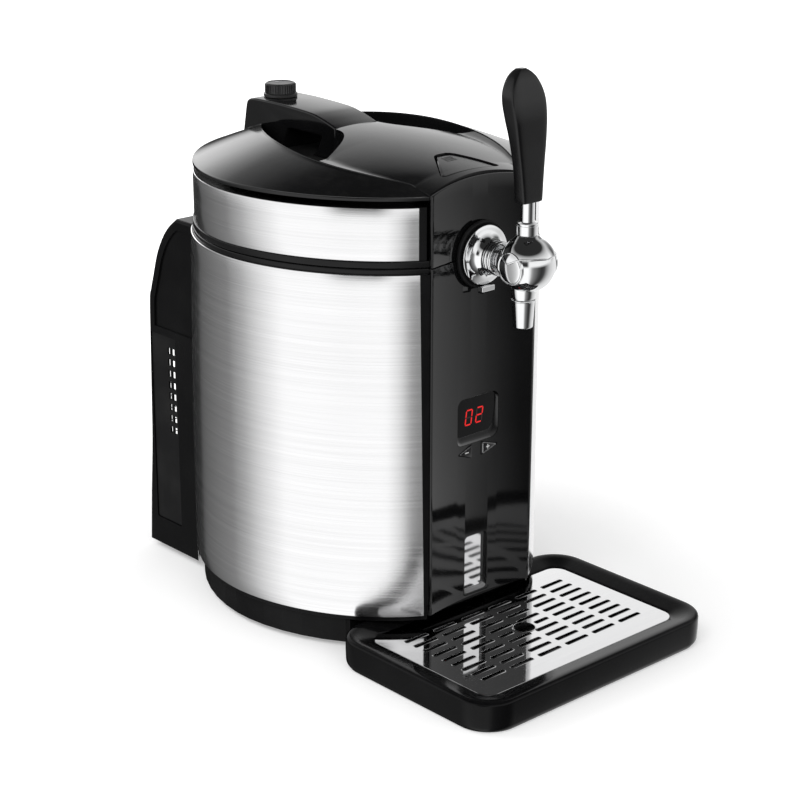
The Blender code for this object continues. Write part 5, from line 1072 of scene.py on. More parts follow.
def leverHandle():
    # height share, then millimetres ahead of and behind the stem, and half width
    table = [(0.00, 6.3, 6.0, 9.9), (0.18, 5.7, 5.6, 11.4), (0.31, 5.2, 6.1, 12.8),
             (0.42, 4.8, 7.2, 14.2), (0.53, 4.3, 9.2, 15.4), (0.64, 3.4, 11.9, 16.5),
             (0.76, 1.4, 14.4, 17.0), (0.85, -0.9, 15.5, 15.4), (0.93, -3.2, 15.4, 11.4),
             (0.975, -5.4, 14.2, 7.2), (1.00, -7.6, 12.4, 3.6)]
    low, high = 0.3600, 0.4562
    profile = smoothTable(table, 6)
    first = profile[0]
    levels = [(*first, -0.9), (first[0] + 0.003, *first[1:], -0.3)]
    levels += [(*row, 0.0) for row in profile if row[0] > 0.012]
    rings = []
    for along, front, rear, half, give in levels:
        ahead = tap["stemY"] - (front + give) / 1000
        behind = tap["stemY"] + (rear + give) / 1000
        wide = (half + give) / 1000
        middle, reach = (ahead + behind) / 2, (behind - ahead) / 2
        ring = []
        for step in range(64):
            angle = 2 * math.pi * (step + 0.5) / 64
            cosine, sine = math.cos(angle), math.sin(angle)
            # squarer towards the front face, so its long edges read as chamfers
            power = 0.24 if sine < 0 else 0.42
            ring.append((wide * math.copysign(abs(cosine) ** power, cosine),
                         middle + reach * math.copysign(abs(sine) ** power, sine),
                         low + (high - low) * along))
        rings.append(ring)
    piece = newObject("leverHandle", loft(rings))
    carve(piece, turned([(0.0055, 0.3500), (0.0055, 0.3643)], "Z", (0, tap["stemY"], 0), 40))
    dress(piece, "handleBlack", "tap_lever", "lever_handle", sharp=46)


plainMaterial("handleBlack", (0.005, 0.005, 0.0053), (0.009, 0.009, 0.0093), 0.16, 0.05, 26,
              dust=0.01, bumpDepth=0.00003, bumpScale=200,
              sockets={"Specular IOR Level": 0.25, "Coat Weight": 0.1,
                       "Coat Roughness": 0.12})
tapMount()
tapBody()
tapNozzle()
tapBonnet()
leverStem()
leverHandle()
print("tap and lever made")


# drip tray and slotted plate
tray = {
    "half": 0.1246, "front": -0.2775, "rear": -0.1045, "height": 0.0246, "corner": 0.0280,
    "floor": 0.0030, "plateTop": 0.02025, "plate": 0.0012, "plateHalf": 0.1040,
    "plateCorner": 0.0117, "slotHalf": 0.0115, "slotWide": 0.0018, "pitchX": 0.0300,
    "pitchY": 0.0106, "hole": 0.0086, "middle": -0.1910, "plateReach": 0.0659,
    "slotStop": 0.0125,
}


def dripTray():
    inset = tray["half"] - tray["plateHalf"] - clearance
    ledge = tray["plateTop"] - tray["plate"] - clearance
    high, corner, small = tray["height"], tray["corner"], tray["plateCorner"] + clearance
    levels = [(0.0040, 0.0, corner), (0.0022, 0.0005, corner), (0.0006, 0.0030, corner),
              (0.0002, 0.0050, corner), (0.0, 0.0120, corner), (0.0, high - 0.0030, corner)]
    for step in range(1, 7):
        angle = math.pi / 2 * step / 6
        levels.append((0.0030 * (1 - math.cos(angle)), high - 0.0030 * (1 - math.sin(angle)),
                       corner))
    levels += [(0.0052, high - 0.0002, corner), (0.0085, high - 0.0009, corner * 0.92),
               (inset - 0.0024, tray["plateTop"] + 0.0007, small * 1.25),
               (inset - 0.0008, tray["plateTop"] + 0.0003, small * 1.08),
               (inset, tray["plateTop"] - 0.0003, small), (inset, ledge, small),
               (inset + 0.0060, ledge, small), (inset + 0.0066, ledge - 0.0008, small),
               (inset + 0.0072, tray["floor"] + 0.0025, small),
               (inset + 0.0100, tray["floor"], small)]
    rings = []
    for reach, z, radius in levels:
        outline = roundedBox(tray["half"] - reach, tray["front"] + reach, tray["rear"] - reach,
                             max(radius - reach * 0.55, small), 14)
        rings.append(atHeight(outline, z))
    dress(newObject("dripTray", loft(rings)), "trayBlack", "tray", "drip_tray",
          sharp=34)


def trayPlate():
    low, top = tray["plateTop"] - tray["plate"], tray["plateTop"]
    piece = softLoft("trayPlate", low, top, 0.00035, 3, lambda give: roundedBox(
        tray["plateHalf"] - give, tray["middle"] - tray["plateReach"] + give,
        tray["middle"] + tray["plateReach"] - give, tray["plateCorner"], 12))
    slots, lips = [], []
    # inset and height of the pressed lip round each slot
    lip = ((-0.00075, -0.0002), (-0.00040, 0.00022), (-0.00012, 0.00030), (0, -0.0004))
    for column in range(6):
        x = (column - 2.5) * tray["pitchX"]
        for row in range(9):
            y = tray["middle"] + (row - 4) * tray["pitchY"]
            near, far = x - tray["slotHalf"], x + tray["slotHalf"]
            if row == 4 and column in (2, 3):
                near = tray["slotStop"] if x > 0 else near
                far = -tray["slotStop"] if x < 0 else far
            outline = roundedOutline(corners(near, y - tray["slotWide"], far,
                                             y + tray["slotWide"]), 0.00125, 3)
            slots.append(prism(outline, low - overrun / 2, top + overrun / 2))
            lips.append(loft([atHeight(shrunk(outline, inset), top + lift)
                              for inset, lift in lip], True))
    ring = [(tray["hole"] * math.cos(2 * math.pi * step / 40),
             tray["middle"] + tray["hole"] * math.sin(2 * math.pi * step / 40))
            for step in range(40)]
    carve(piece, joined(*slots, prism(ring, low - overrun / 2, top + overrun / 2)))
    dress(piece, "mirrorSteel", "tray_cover", "tray_plate", sharp=10)
    edges = newObject("trayPlateLips", joined(*lips))
    dress(edges, "mirrorSteel", "tray_cover", None, sharp=60)
    # pressed ring round the finger hole
    holeEdge = newObject("trayPlateRing", turned(
        [(tray["hole"] - 0.0002, top - 0.0009), (tray["hole"] - 0.0002, top + 0.0002),
         (tray["hole"] + 0.0003, top + 0.0004), (tray["hole"] + 0.0009, top + 0.0002),
         (tray["hole"] + 0.0012, top - 0.0002)], "Z", (0, tray["middle"], 0), 48, True))
    dress(holeEdge, "mirrorSteel", "tray_cover", None, sharp=60)


plainMaterial("trayBlack", (0.0035, 0.0035, 0.0038), (0.006, 0.006, 0.0063), 0.14, 0.04, 22,
              dust=0.01, bumpDepth=0.00003, bumpScale=300,
              sockets={"Specular IOR Level": 0.12})
dripTray()
trayPlate()
print("drip tray and plate made")


# lid: dome, crease and spine curves
lid = {
    "rise": 0.0400, "rim": 0.0076, "rimShare": 0.994, "power": 1.72,
    "creaseHalf": 0.0820, "creaseY": -0.0320, "narrowing": 0.0330, "run": 0.0950,
    "crownTop": 0.3884, "crownFall": 0.0165, "crownRun": 0.1440, "crown": 0.0092,
    "crownEase": 0.0020, "frontEnd": -0.1235, "flank": 0.0140, "scoop": 0.0100,
    "flareStart": -0.0450, "flareEnd": 0.0050, "flarePower": 2.2, "bridgeHalf": 0.0220,
    "frontCorner": 0.0084, "frontArch": 0.0070, "wall": 0.0025, "floorTop": 0.3613,
    "shellGap": 0.0006, "shellWall": 0.0034,
}


def domeZ(x, y):
    half = body["halfWidth"] * body["lidShare"]
    depth = (rearDepth(level["bandTop"]) if y > 0 else body["front"]) * body["lidShare"]
    power = body["power"]
    reach = ((abs(x) / half) ** power + (abs(y) / depth) ** power) ** (1 / power)
    share = min(reach / lid["rimShare"], 1)
    return (level["domeBase"] + lid["rim"]
            + (lid["rise"] - lid["rim"]) * (1 - share ** lid["power"]))


def creaseX(y):
    width = lid["creaseHalf"] - lid["narrowing"] * ((y - lid["creaseY"]) / lid["run"]) ** 2
    return max(width, notchHalf if y < lid["creaseY"] else lid["bridgeHalf"] + clearance)


def fallShare(y):
    return min(max((lid["flareEnd"] - y) / lid["crownRun"], 0), 1)


def crownZ(y):
    return lid["crownTop"] - lid["crownFall"] * fallShare(y) ** 1.9


def valleyZ(y):
    return crownZ(y) - lid["crown"] + lid["crownEase"] * fallShare(y)


def spineHalf(y):
    if y < lid["flareStart"]:
        return creaseX(y) - 0.0006
    share = min((y - lid["flareStart"]) / (lid["flareEnd"] - lid["flareStart"]), 1)
    full = creaseX(lid["flareStart"]) - 0.0006
    return lid["bridgeHalf"] + (full - lid["bridgeHalf"]) * (1 - share) ** lid["flarePower"]


def spineZ(x, y):
    # a crowned back that ends in a groove beside the crease; the groove narrows to the front
    spread = min(max((y - lid["frontEnd"]) / 0.085, 0.03), 1)
    valley = max(creaseX(y) - lid["flank"] * spread, 0.0300)
    low = valleyZ(y)
    if abs(x) <= valley:
        return low + (crownZ(y) - low) * (1 - (x / valley) ** 2)
    rise = max(domeZ(creaseX(y), y) - low, 0)
    share = min((abs(x) - valley) / (creaseX(y) - valley), 1)
    return low + rise * share ** 1.5


def lidLobe(side):
    rows = 84
    outer = planArc(level["bandTop"], body["lidShare"], 0, notchHalf,
                    lid["bridgeHalf"] + clearance, rows)
    shares = [0, 0.004, 0.012, 0.022, 0.026] + [0.05 * step for step in range(1, 20)]
    shares += [0.965, 0.98, 0.99, 0.996, 1.0]
    top, bottom = [], []
    for row in range(rows + 1):
        innerY = lid["frontEnd"] + (0.1200 - lid["frontEnd"]) * row / rows
        inner = (creaseX(innerY), innerY)
        upper, lower = [], []
        for share in shares:
            x = inner[0] + (outer[row][0] - inner[0]) * share
            y = inner[1] + (outer[row][1] - inner[1]) * share
            high = domeZ(x, y)
            low = max(high - lid["wall"], level["domeBase"])
            low = level["domeBase"] if share < 0.025 else low
            # a small raised lip along the crease, and a rounded rim
            high += {0: -0.0005, 0.004: 0.0003, 0.012: 0.0007, 0.022: 0.0006,
                     0.026: 0.0002, 0.996: -0.0002, 1.0: -0.0008}.get(share, 0)
            upper.append((side * x, y, high))
            lower.append((side * x, y, low))
        top.append(upper)
        bottom.append(lower)
    dress(newObject(handed("lidLobe", side), slab(top, bottom)), "lidBlack", "lid",
          handedNode("lid_lobe", side), sharp=33)


button = {
    "apexY": -0.0939, "baseY": -0.1260, "half": 0.0300, "apexHalf": 0.0060, "sink": 0.0011,
    "thick": 0.0020,
}


def buttonSolid(grow, tall, rows=26, columns=30):
    run = button["baseY"] - button["apexY"]
    top, bottom = [], []
    for row in range(rows + 1):
        share = row / rows
        y = button["apexY"] + grow + (run - 2 * grow) * share
        half = button["apexHalf"] + (button["half"] - button["apexHalf"]) * share ** 0.96
        # both ends are rounded off
        if share > 0.86:
            half -= 0.0065 * (1 - math.sqrt(max(0, 1 - ((share - 0.86) / 0.14) ** 2)))
        if share < 0.12:
            half -= 0.0030 * (1 - math.sqrt(max(0, 1 - ((0.12 - share) / 0.12) ** 2)))
        half += grow * 1.6
        upper, lower = [], []
        for column in range(columns + 1):
            x = half * (-1 + 2 * column / columns)
            z = spineZ(x, y) - button["sink"]
            edge = min(column, columns - column, row, rows - row)
            give = 0.0005 if edge == 0 and not tall else 0
            upper.append((x, y, z + tall - give))
            lower.append((x, y, z - button["thick"] - tall))
        top.append(upper)
        bottom.append(lower)
    return slab(top, bottom)


def lidSpine():
    rows, columns = 84, 54
    scoops = [0.04, 0.12, 0.25, 0.40, 0.58, 0.78, 1.0]
    places = [(-1, share) for share in reversed(scoops)]
    places += [(-1 + 2 * column / columns, 0) for column in range(columns + 1)]
    places += [(1, share) for share in scoops]
    top, bottom = [], []
    for row in range(rows + 1):
        along = row / rows
        upper, lower = [], []
        for across, scoop in places:
            frontY = panelY(across * panel["half"]) + panel["thickness"] + clearance
            y = frontY + (lid["flareEnd"] - frontY) * along
            half = spineHalf(y)
            x, z = across * half, spineZ(across * half, y)
            if scoop:
                # past its edge the crown drops in a hollow sweep to the wells' floor
                gap = max(creaseX(y) - 0.0006 - half, 0)
                spread = min(gap / 0.006, 1) ** 2
                drop = max((z - lid["floorTop"] - clearance) * spread, 0.0002)
                x += across * max(min(gap * 0.55, lid["scoop"]), 0.0002) * scoop ** 1.7
                z -= drop * (1 - (1 - scoop) ** 2.2)
            upper.append((x, y, z))
            lower.append((x, y, z - lid["wall"]))
        top.append(upper)
        bottom.append(lower)
    piece = newObject("lidSpine", slab(top, bottom))
    carve(piece, buttonSolid(0.0012, 0.0040))
    dress(piece, "lidBlack", "lid", "lid_spine", sharp=36)


def regulatorBore(low, high):
    return turned([(regulatorHole, low), (regulatorHole, high)], "Z", knobAxis, 48)


def lidShell():
    inset = wrap["sheet"] + lid["shellGap"]
    deep = inset + lid["shellWall"]
    bandTop, low, flangeTop = level["bandTop"], level["lidBottom"], level["bandBottom"] - clearance

    def outlineAt(z, reach, front):
        return bodyOutline(z, body["lidShare"], reach, notchHalf + front, notchY + front, 72)

    hollow = outlineAt(bandTop, deep, lid["shellWall"])
    rings = [atHeight(hollow, bandTop - 0.0030), atHeight(hollow, low)]
    middle, half = (low + flangeTop) / 2, (flangeTop - low) / 2
    for place, give in softEdges(half, 0.0009, 3):
        rings.append(atHeight(outlineAt(level["bandBottom"], give, give), middle + place))
    for z in (flangeTop, bandTop):
        rings.append(atHeight(outlineAt(bandTop, inset, lid["shellGap"]), z))
    piece = newObject("lidShell", loft(rings))
    hingeY, hingeZ = 0.1500, 0.3145
    arm = block((-0.0150, 0.1280, hingeZ - 0.0027), (0.0150, hingeY, flangeTop))
    barrel = turned([(0.0045, -0.0150), (0.0045, 0.0150)], "X", (0, hingeY, hingeZ), 40)
    carve(piece, tapPassage, latchSlot(bandTop - 0.0070, bandTop + overrun),
          regulatorBore(bandTop - 0.007, bandTop + overrun))
    carve(piece, arm, barrel, operation="UNION")
    carve(piece, turned([(0.0023, -0.022), (0.0023, 0.022)], "X", (0, hingeY, hingeZ), 32))
    dress(piece, "rimBlack", "lid", "lid_shell", sharp=32)


def lidLiner():
    low, roof, radius, wall = level["lidBottom"] + clearance, 0.3450, 0.0990, 0.0025
    inset = wrap["sheet"] + lid["shellGap"] + lid["shellWall"] + clearance
    front = lid["shellWall"] + clearance
    outline = bodyOutline(level["bandTop"], body["lidShare"], inset, notchHalf + front,
                          notchY + front, 60)
    piece = newObject("lidLiner", prism(outline, low, low + wall))
    outside = [(radius, low), (radius, roof - 0.004)]
    outside += arcPoints(radius - 0.004, roof - 0.004, 0.004, 0, 90, 5)
    carve(piece, turned(outside, "Z", (0, 0, 0), 96), operation="UNION")
    inside = [(radius - wall, low - overrun), (radius - wall, roof - wall - 0.005)]
    inside += arcPoints(radius - wall - 0.005, roof - wall - 0.005, 0.005, 0, 90, 5)
    carve(piece, turned(inside, "Z", (0, 0, 0), 96), tapPassage,
          latchSlot(low - overrun, low + overrun), regulatorBore(low - overrun, roof + overrun))
    dress(piece, "linerWhite", "lid", "lid_liner", sharp=35)


def lidFloor():
    right = []
    for row in range(61):
        y = -0.0600 + (0.1340 + 0.0600) * row / 60
        right.append((creaseX(y) - 0.0012, y))
    outline = right + [(-x, y) for x, y in reversed(right)]
    piece = newObject("lidFloor", prism(outline, level["domeBase"], lid["floorTop"]))
    carve(piece, regulatorBore(0.35, 0.37))
    dress(piece, "mattBlack", "lid", "lid_floor", sharp=35)


def bridgeHandle():
    start, rear, low = lid["flareEnd"] + clearance, 0.1255, lid["floorTop"] + clearance
    run, rise = rear - start, 0.3973 - (lid["floorTop"] + clearance)
    crest = [(0.000, 0.735), (0.06, 0.80), (0.17, 0.90), (0.29, 0.96), (0.58, 1.0),
             (0.80, 0.998), (0.87, 0.985), (0.915, 0.945), (0.94, 0.84), (0.965, 0.45),
             (0.985, 0.11)]
    arch = [(0.53, 0.24), (0.505, 0.40), (0.475, 0.48), (0.32, 0.487), (0.17, 0.485),
            (0.15, 0.42), (0.19, 0.16)]
    outline = [(0, 0)] + smoothTable(crest, 5) + [(1, 0), (0.55, 0)]
    outline += smoothTable(arch, 3) + [(0.24, 0)]
    shape = [(start + run * along, low + rise * up) for along, up in outline]
    half = lid["bridgeHalf"] - clearance
    piece = softLoft("bridgeHandle", -half, half, 0.0016, 4, lambda give: shrunk(shape, give), "X")
    carve(piece, regulatorBore(low - overrun, 0.4013))
    dress(piece, "lidBlack", "lid", "bridge_handle", sharp=40)


def regulatorAndKnob():
    top = 0.3970
    profile = [(0.0094, 0.3303), (0.0100, 0.3309), (0.0100, 0.3500), (0.0097, 0.3503),
               (0.0097, 0.3512), (0.0100, 0.3515), (0.0100, top), (0.0040, top),
               (0.0040, top + 0.0040)]
    dress(newObject("pressureRegulator", turned(profile, "Z", knobAxis, 56)), "brass", "lid",
          "pressure_regulator", sharp=40)
    low = 0.3976
    knob = [(0.0043, low + 0.0040), (0.0043, low), (0.0135, low), (0.0138, low + 0.0003),
            (0.0138, low + 0.0022), (0.0135, low + 0.0026), (0.0124, low + 0.0030),
            (0.0122, low + 0.0034), (0.0121, low + 0.0100), (0.0118, low + 0.0107),
            (0.0113, low + 0.0110), (0.0102, low + 0.0110), (0.0100, low + 0.0107),
            (0.0020, low + 0.0105)]
    dress(newObject("regulatorKnob", turned(knob, "Z", knobAxis, 72)), "knobBlack",
          "gas_knob", "regulator_knob", sharp=32)
    rib = loft([[(0.0118, -0.00042, z), (0.0128 - give, -0.00024, z),
                 (0.0128 - give, 0.00024, z), (0.0118, 0.00042, z)]
                for z, give in ((0.0031, 0.0), (0.0096, 0.0), (0.0104, 0.0006))])
    ribs = repeated("knobFlutes", rib, "knobBlack", 36, (0, knobAxis[1], low),
                    turn=2 * math.pi / 36)
    dress(ribs, "knobBlack", "gas_knob", sharp=30)
    mark = newObject("knobMark", block((-0.0004, 0.1025, low + 0.0100),
                                       (0.0004, 0.1095, low + 0.01095)))
    dress(mark, "keyLine", "gas_knob")


def releaseButton():
    piece = newObject("releaseButton", buttonSolid(0, 0))
    z = spineZ(0.017, -0.124) - 0.0022
    arms = [block((side * 0.0110, -0.1240, 0.3030), (side * 0.0170, -0.1200, z))
            for side in (-1, 1)]
    carve(piece, joined(*arms), operation="UNION")
    dress(piece, "buttonBlack", "lid_release", "release_button", sharp=30)
    # grip ribs near the apex, each set on the button's crown
    half = 0.0050
    rib = []
    for place in range(13):
        x = half * (-1 + place / 6)
        drop = spineZ(x, -0.1000) - spineZ(0, -0.1000)
        rib.append([(x, -0.00035, drop - 0.0004), (x, -0.0002, drop + 0.00032),
                    (x, 0.0002, drop + 0.00032), (x, 0.00035, drop - 0.0004)])
    top = spineZ(0, -0.0990) - button["sink"]
    slope = spineZ(0, -0.1070) - button["sink"] - top
    ribs = repeated("buttonRibs", loft(rib), "buttonBlack", 5, (0, -0.0985, top),
                    step=(0, -0.0016, slope / 5))
    dress(ribs, "buttonBlack", "lid_release", sharp=30)


def lidFront():
    def topAt(x):
        return (level["bandTop"] + lid["frontCorner"]
                + lid["frontArch"] * (1 - (x / panel["half"]) ** 2))

    piece = panelSweep("lidFront", level["lidBottom"], topAt)
    carve(piece, turned([(panel["tapHole"], -0.146), (panel["tapHole"], -0.128)], "Y",
                        (0, 0, tapAxisZ), 40))
    dissolved(piece, 0.05)
    dress(piece, "glossBlack", "lid", "lid_front", sharp=28)


plainMaterial("knobBlack", (0.010, 0.010, 0.0105), (0.020, 0.020, 0.020), 0.33, 0.06, 60,
              dust=0.02)
plainMaterial("buttonBlack", (0.006, 0.006, 0.0065), (0.010, 0.010, 0.0105), 0.20, 0.04, 40,
              dust=0.015)
for hand in (-1, 1):
    lidLobe(hand)
lidSpine()
lidShell()
lidLiner()
lidFloor()
bridgeHandle()
regulatorAndKnob()
releaseButton()
lidFront()
print("lid made")


# rear housing with its vents, grille, fan, inlet and screws
housing = {
    "half": 0.0930, "wall": 0.0030, "low": 0.0050, "high": 0.3040,
    "ventFront": 0.1310, "ventRear": 0.1660, "ventLow": 0.0310, "ventHigh": 0.2000,
}


def housingCurve(steps=5):
    table = [(0.1795, 0.0050), (0.1762, 0.0520), (0.17196, 0.1007), (0.1694, 0.1650),
             (0.1673, 0.2248), (0.1645, 0.2380), (0.1605, 0.2502), (0.1540, 0.2695),
             (0.14575, 0.28456), (0.1366, 0.2955), (0.12565, 0.3040)]
    return smoothTable(table, steps)


def rearWallY(z):
    curve = housingCurve()
    for (nearY, nearZ), (farY, farZ) in zip(curve, curve[1:]):
        if nearZ <= z <= farZ:
            return nearY + (farY - nearY) * (z - nearZ) / (farZ - nearZ)
    return curve[0][0]


def bodyCore(grow, low, high, levels=20):
    rings = []
    for step in range(levels + 1):
        z = low + (high - low) * step / levels
        span = max(min(z, level["bandTop"]), 0)
        rings.append(atHeight(bodyOutline(span, 1.0, -grow, notchHalf, notchY, 64), z))
    return loft(rings)


def ventOutline(inset, radius):
    return roundedOutline(corners(housing["ventFront"] + inset, housing["ventLow"] + inset,
                                  housing["ventRear"] - inset, housing["ventHigh"] - inset),
                          radius, 3)


def rearHousing():
    half, wall = housing["half"], housing["wall"]
    outline = [(0, housing["low"])] + housingCurve() + [(0, housing["high"])]

    def drawnIn(inset):
        return [(max(y, 0), z) for y, z in shrunk(outline, inset)]

    piece = softLoft("rearHousing", -half, half, 0.0032, 5, drawnIn, "X")
    curve = [(y, z) for y, z in shrunk(outline, 0.0085) if z > 0.2070 and y > 0.108]
    pocket = [(0.1040, 0.2060), (rearWallY(0.2060) - 0.0085, 0.2060)] + curve
    pocket += [(0.1040, curve[-1][1])]
    sides = []
    for side in (-1, 1):
        far = side * (half + overrun)
        sides.append(prism(pocket, *sorted((side * (half - 0.0014), far)), "X"))
        sides.append(prism(ventOutline(0, 0.0015), *sorted((side * (half - 0.006), far)), "X"))
    carve(piece, prism(drawnIn(wall), -half + wall, half - wall, "X"),
          bodyCore(0.0001, housing["low"] - overrun, housing["high"] + overrun),
          block((-0.0830, 0.1552, 0.0700), (0.0830, 0.1835, 0.2150)),
          block((0.0407, 0.1552, 0.0287), (0.0693, 0.1835, 0.0513)), *sides)
    dissolved(piece, 0.4)
    bevelled(piece, 0.0007, 2, 35)
    dress(piece, "housingBlack", "cabinet", "rear_housing", sharp=32)


def sideVents():
    for side in (-1, 1):
        low, high = sorted((side * 0.0920, side * 0.0900))
        piece = newObject(handed("sideVent", side),
                          prism(ventOutline(clearance, 0.0012), low, high, "X"))
        slots = []
        for row in range(8):
            top = 0.1900 - row * 0.0100
            slots += [block((low - overrun, front, top - 0.0060), (high + overrun, rear, top))
                      for front, rear in ((0.1340, 0.1385), (0.1405, 0.1435))]
        carve(piece, joined(*slots))
        bevelled(piece, 0.0003, 2, 40)
        dress(piece, "mattBlack", "cabinet", handedNode("side_vent", side), sharp=35)


def rearGrille():
    low, high, half, frame = 0.0703, 0.2147, 0.0827, 0.0034
    rings = []
    for step in range(13):
        z = low + (high - low) * step / 12
        y = rearWallY(z) - clearance
        rings.append([(-half, y, z), (half, y, z), (half, y - 0.0025, z), (-half, y - 0.0025, z)])
    piece = newObject("rearGrille", loft(rings))
    carve(piece, block((-half + frame, 0.15, low + frame), (half - frame, 0.19, high - frame)))
    bevelled(piece, 0.0004, 2, 40)
    dress(piece, "mattBlack", "cabinet", "rear_grille", sharp=35)
    # tilted slats, repeated up the opening
    count = 12
    pitch = (high - low - 2 * frame) / count
    topY, lowY = rearWallY(high - frame), rearWallY(low + frame)
    slat = loft([[(x, 0.0000, -0.0014), (x, 0.0004, -0.0008), (x, -0.0048, 0.0016),
                  (x, -0.0052, 0.0010)] for x in (-half + frame - 0.0006, half - frame + 0.0006)])
    slats = repeated("grilleSlats", slat, "mattBlack", count,
                     (0, lowY - 0.0010, low + frame + pitch / 2),
                     step=(0, (topY - lowY) / count, pitch))
    dress(slats, "mattBlack", "cabinet", None, sharp=30)
    postY = rearWallY(0.2097) - 0.0036
    posts = [block((x - 0.0012, postY - 0.0026, low + 0.002), (x + 0.0012, postY, high - 0.002))
             for x in (-0.0270, 0.0270)]
    dress(newObject("grillePosts", joined(*posts)), "mattBlack", "cabinet", None)


def inletAndScrews():
    back = rearWallY(0.0510) - clearance
    outline = roundedOutline(corners(0.0410, 0.0290, 0.0690, 0.0510), 0.0012, 4)
    piece = newObject("powerInlet", prism(outline, back - 0.0180, back, "Y"))
    # the socket's two upper corners are cut off
    socket = [(0.0670, 0.0310), (0.0670, 0.0440), (0.0625, 0.0490), (0.0475, 0.0490),
              (0.0430, 0.0440), (0.0430, 0.0310)]
    carve(piece, prism(socket, back - 0.0160, back + overrun, "Y"))
    bevelled(piece, 0.0003, 2, 40)
    dress(piece, "mattBlack", "cabinet", "power_inlet", sharp=35)
    pins = [block((x - 0.0010, back - 0.0165, z - 0.0020), (x + 0.0010, back - 0.0040, z + 0.0020))
            for x, z in ((0.0478, 0.0362), (0.0550, 0.0425), (0.0622, 0.0362))]
    blades = bevelled(newObject("inletPins", joined(*pins)), 0.0005, 2)
    dress(blades, "turnedSteel", "cabinet", None)
    head = [(0.0001, 0.0004), (0.0018, 0.0004), (0.0030, 0.0000), (0.0033, -0.0006),
            (0.0033, -0.0016)]
    crown = turned(head, "Y", (0, 0, 0), 24)
    reach, long, thick = 0.0780, 0.0020, 0.0003
    for name, z in (("housingScrewsLow", 0.0200), ("housingScrewsHigh", 0.2340)):
        wallY = rearWallY(z)
        face = wallY + clearance
        screws = repeated(name, crown, "turnedSteel", 2, (-reach, face, z),
                          step=(2 * reach, 0, 0))
        # a cross in each head
        carve(screws, *[joined(*[block((x - wide, face, z - tall),
                                       (x + wide, wallY + overrun, z + tall))
                                 for x in (-reach, reach)])
                        for wide, tall in ((long, thick), (thick, long))])
        dress(screws, "turnedSteel", "cabinet", None, sharp=35)


plainMaterial("housingBlack", (0.004, 0.004, 0.0043), (0.007, 0.007, 0.0073), 0.24, 0.06, 26,
              bumpDepth=0.00004, bumpScale=900, dust=0.015, sockets={"Specular IOR Level": 0.08})
rearHousing()
sideVents()
rearGrille()
inletAndScrews()
print("rear housing made")


# CAD pieces that only need rounded edges and a finish
plainMaterial("wellGrey", (0.36, 0.365, 0.37), (0.44, 0.445, 0.45), 0.40, 0.06, 30,
              bumpDepth=0.00003, bumpScale=500, metallic=0.35)
carried = {
    # node: material, body, slot, edge width
    "base_plinth": ("satinBlack", "cabinet", "satin_black", 0.0012),
    "rubber_foot_front_left": ("rubber", "cabinet", "rubber", 0.0006),
    "rubber_foot_front_right": ("rubber", "cabinet", "rubber", 0.0006),
    "rubber_foot_rear_left": ("rubber", "cabinet", "rubber", 0.0006),
    "rubber_foot_rear_right": ("rubber", "cabinet", "rubber", 0.0006),
    "back_panel": ("mattBlack", "cabinet", "matt_black", 0.0005),
    "keg_well": ("wellGrey", "cabinet", "aluminium", 0.0004),
    "foam_sleeve": ("foam", "cabinet", "foam", 0.0008),
    "lid_gasket": ("rubber", "cabinet", "rubber", 0.0005),
    "front_column": ("satinBlack", "cabinet", "satin_black", 0.0004),
    "control_board": ("circuitGreen", "cabinet", "circuit_green", 0.0001),
    "cold_block": ("aluminium", "cabinet", "aluminium", 0.0004),
    "thermoelectric_module": ("ceramic", "cabinet", "ceramic", 0.0002),
    "heat_sink": ("aluminium", "cabinet", "aluminium", 0.0002),
    "fan_frame": ("mattBlack", "cabinet", "matt_black", 0.0004),
    "fan_rotor": ("mattBlack", "fan", "matt_black", 0.0003),
    "power_board": ("circuitGreen", "cabinet", "circuit_green", 0.0001),
    "tap_shank": ("turnedSteel", "cabinet", "chrome", 0.0003),
    "beer_line": ("clearHose", "cabinet", "clear_hose", 0.0),
    "keg_connector": ("mattBlack", "cabinet", "matt_black", 0.0005),
    "hinge_bracket": ("mattBlack", "cabinet", "satin_black", 0.0005),
    "hinge_pin": ("turnedSteel", "cabinet", "chrome", 0.0003),
}


def pieceName(node):
    first, *rest = node.split("_")
    return first + "".join(word.capitalize() for word in rest)


for node, (material, rides, slot, width) in carried.items():
    piece = copyOf(node, pieceName(node))
    if width:
        bevelled(piece, width, 2)
    dress(piece, material, rides, node)
print("carried pieces finished")


# floor, studio, lamps and camera
studio = {
    "floorShade": 0.83, "floorLift": 0.34, "worldFill": 0.52, "domeRadius": 5.0,
}
lamps = {
    # place, aim, size, power
    "keyLamp": ((-1.5, -0.7, 1.9), (0, 0, 0.2), (1.2, 1.2), 15),
    "fillLamp": ((-0.4, -2.1, 1.3), (0, 0, 0.2), (1.4, 1.0), 10),
    "backLamp": ((-1.05, 1.65, 1.55), (0, 0.1, 0.3), (1.3, 1.0), 15),
}


def backgroundFactor(graph):
    # camera, glossy and transmission rays all see the background
    path = graph.add("ShaderNodeLightPath")
    seen = graph.math("MAXIMUM", path.outputs["Is Camera Ray"], path.outputs["Is Glossy Ray"])
    return graph.math("MAXIMUM", seen, path.outputs["Is Transmission Ray"])


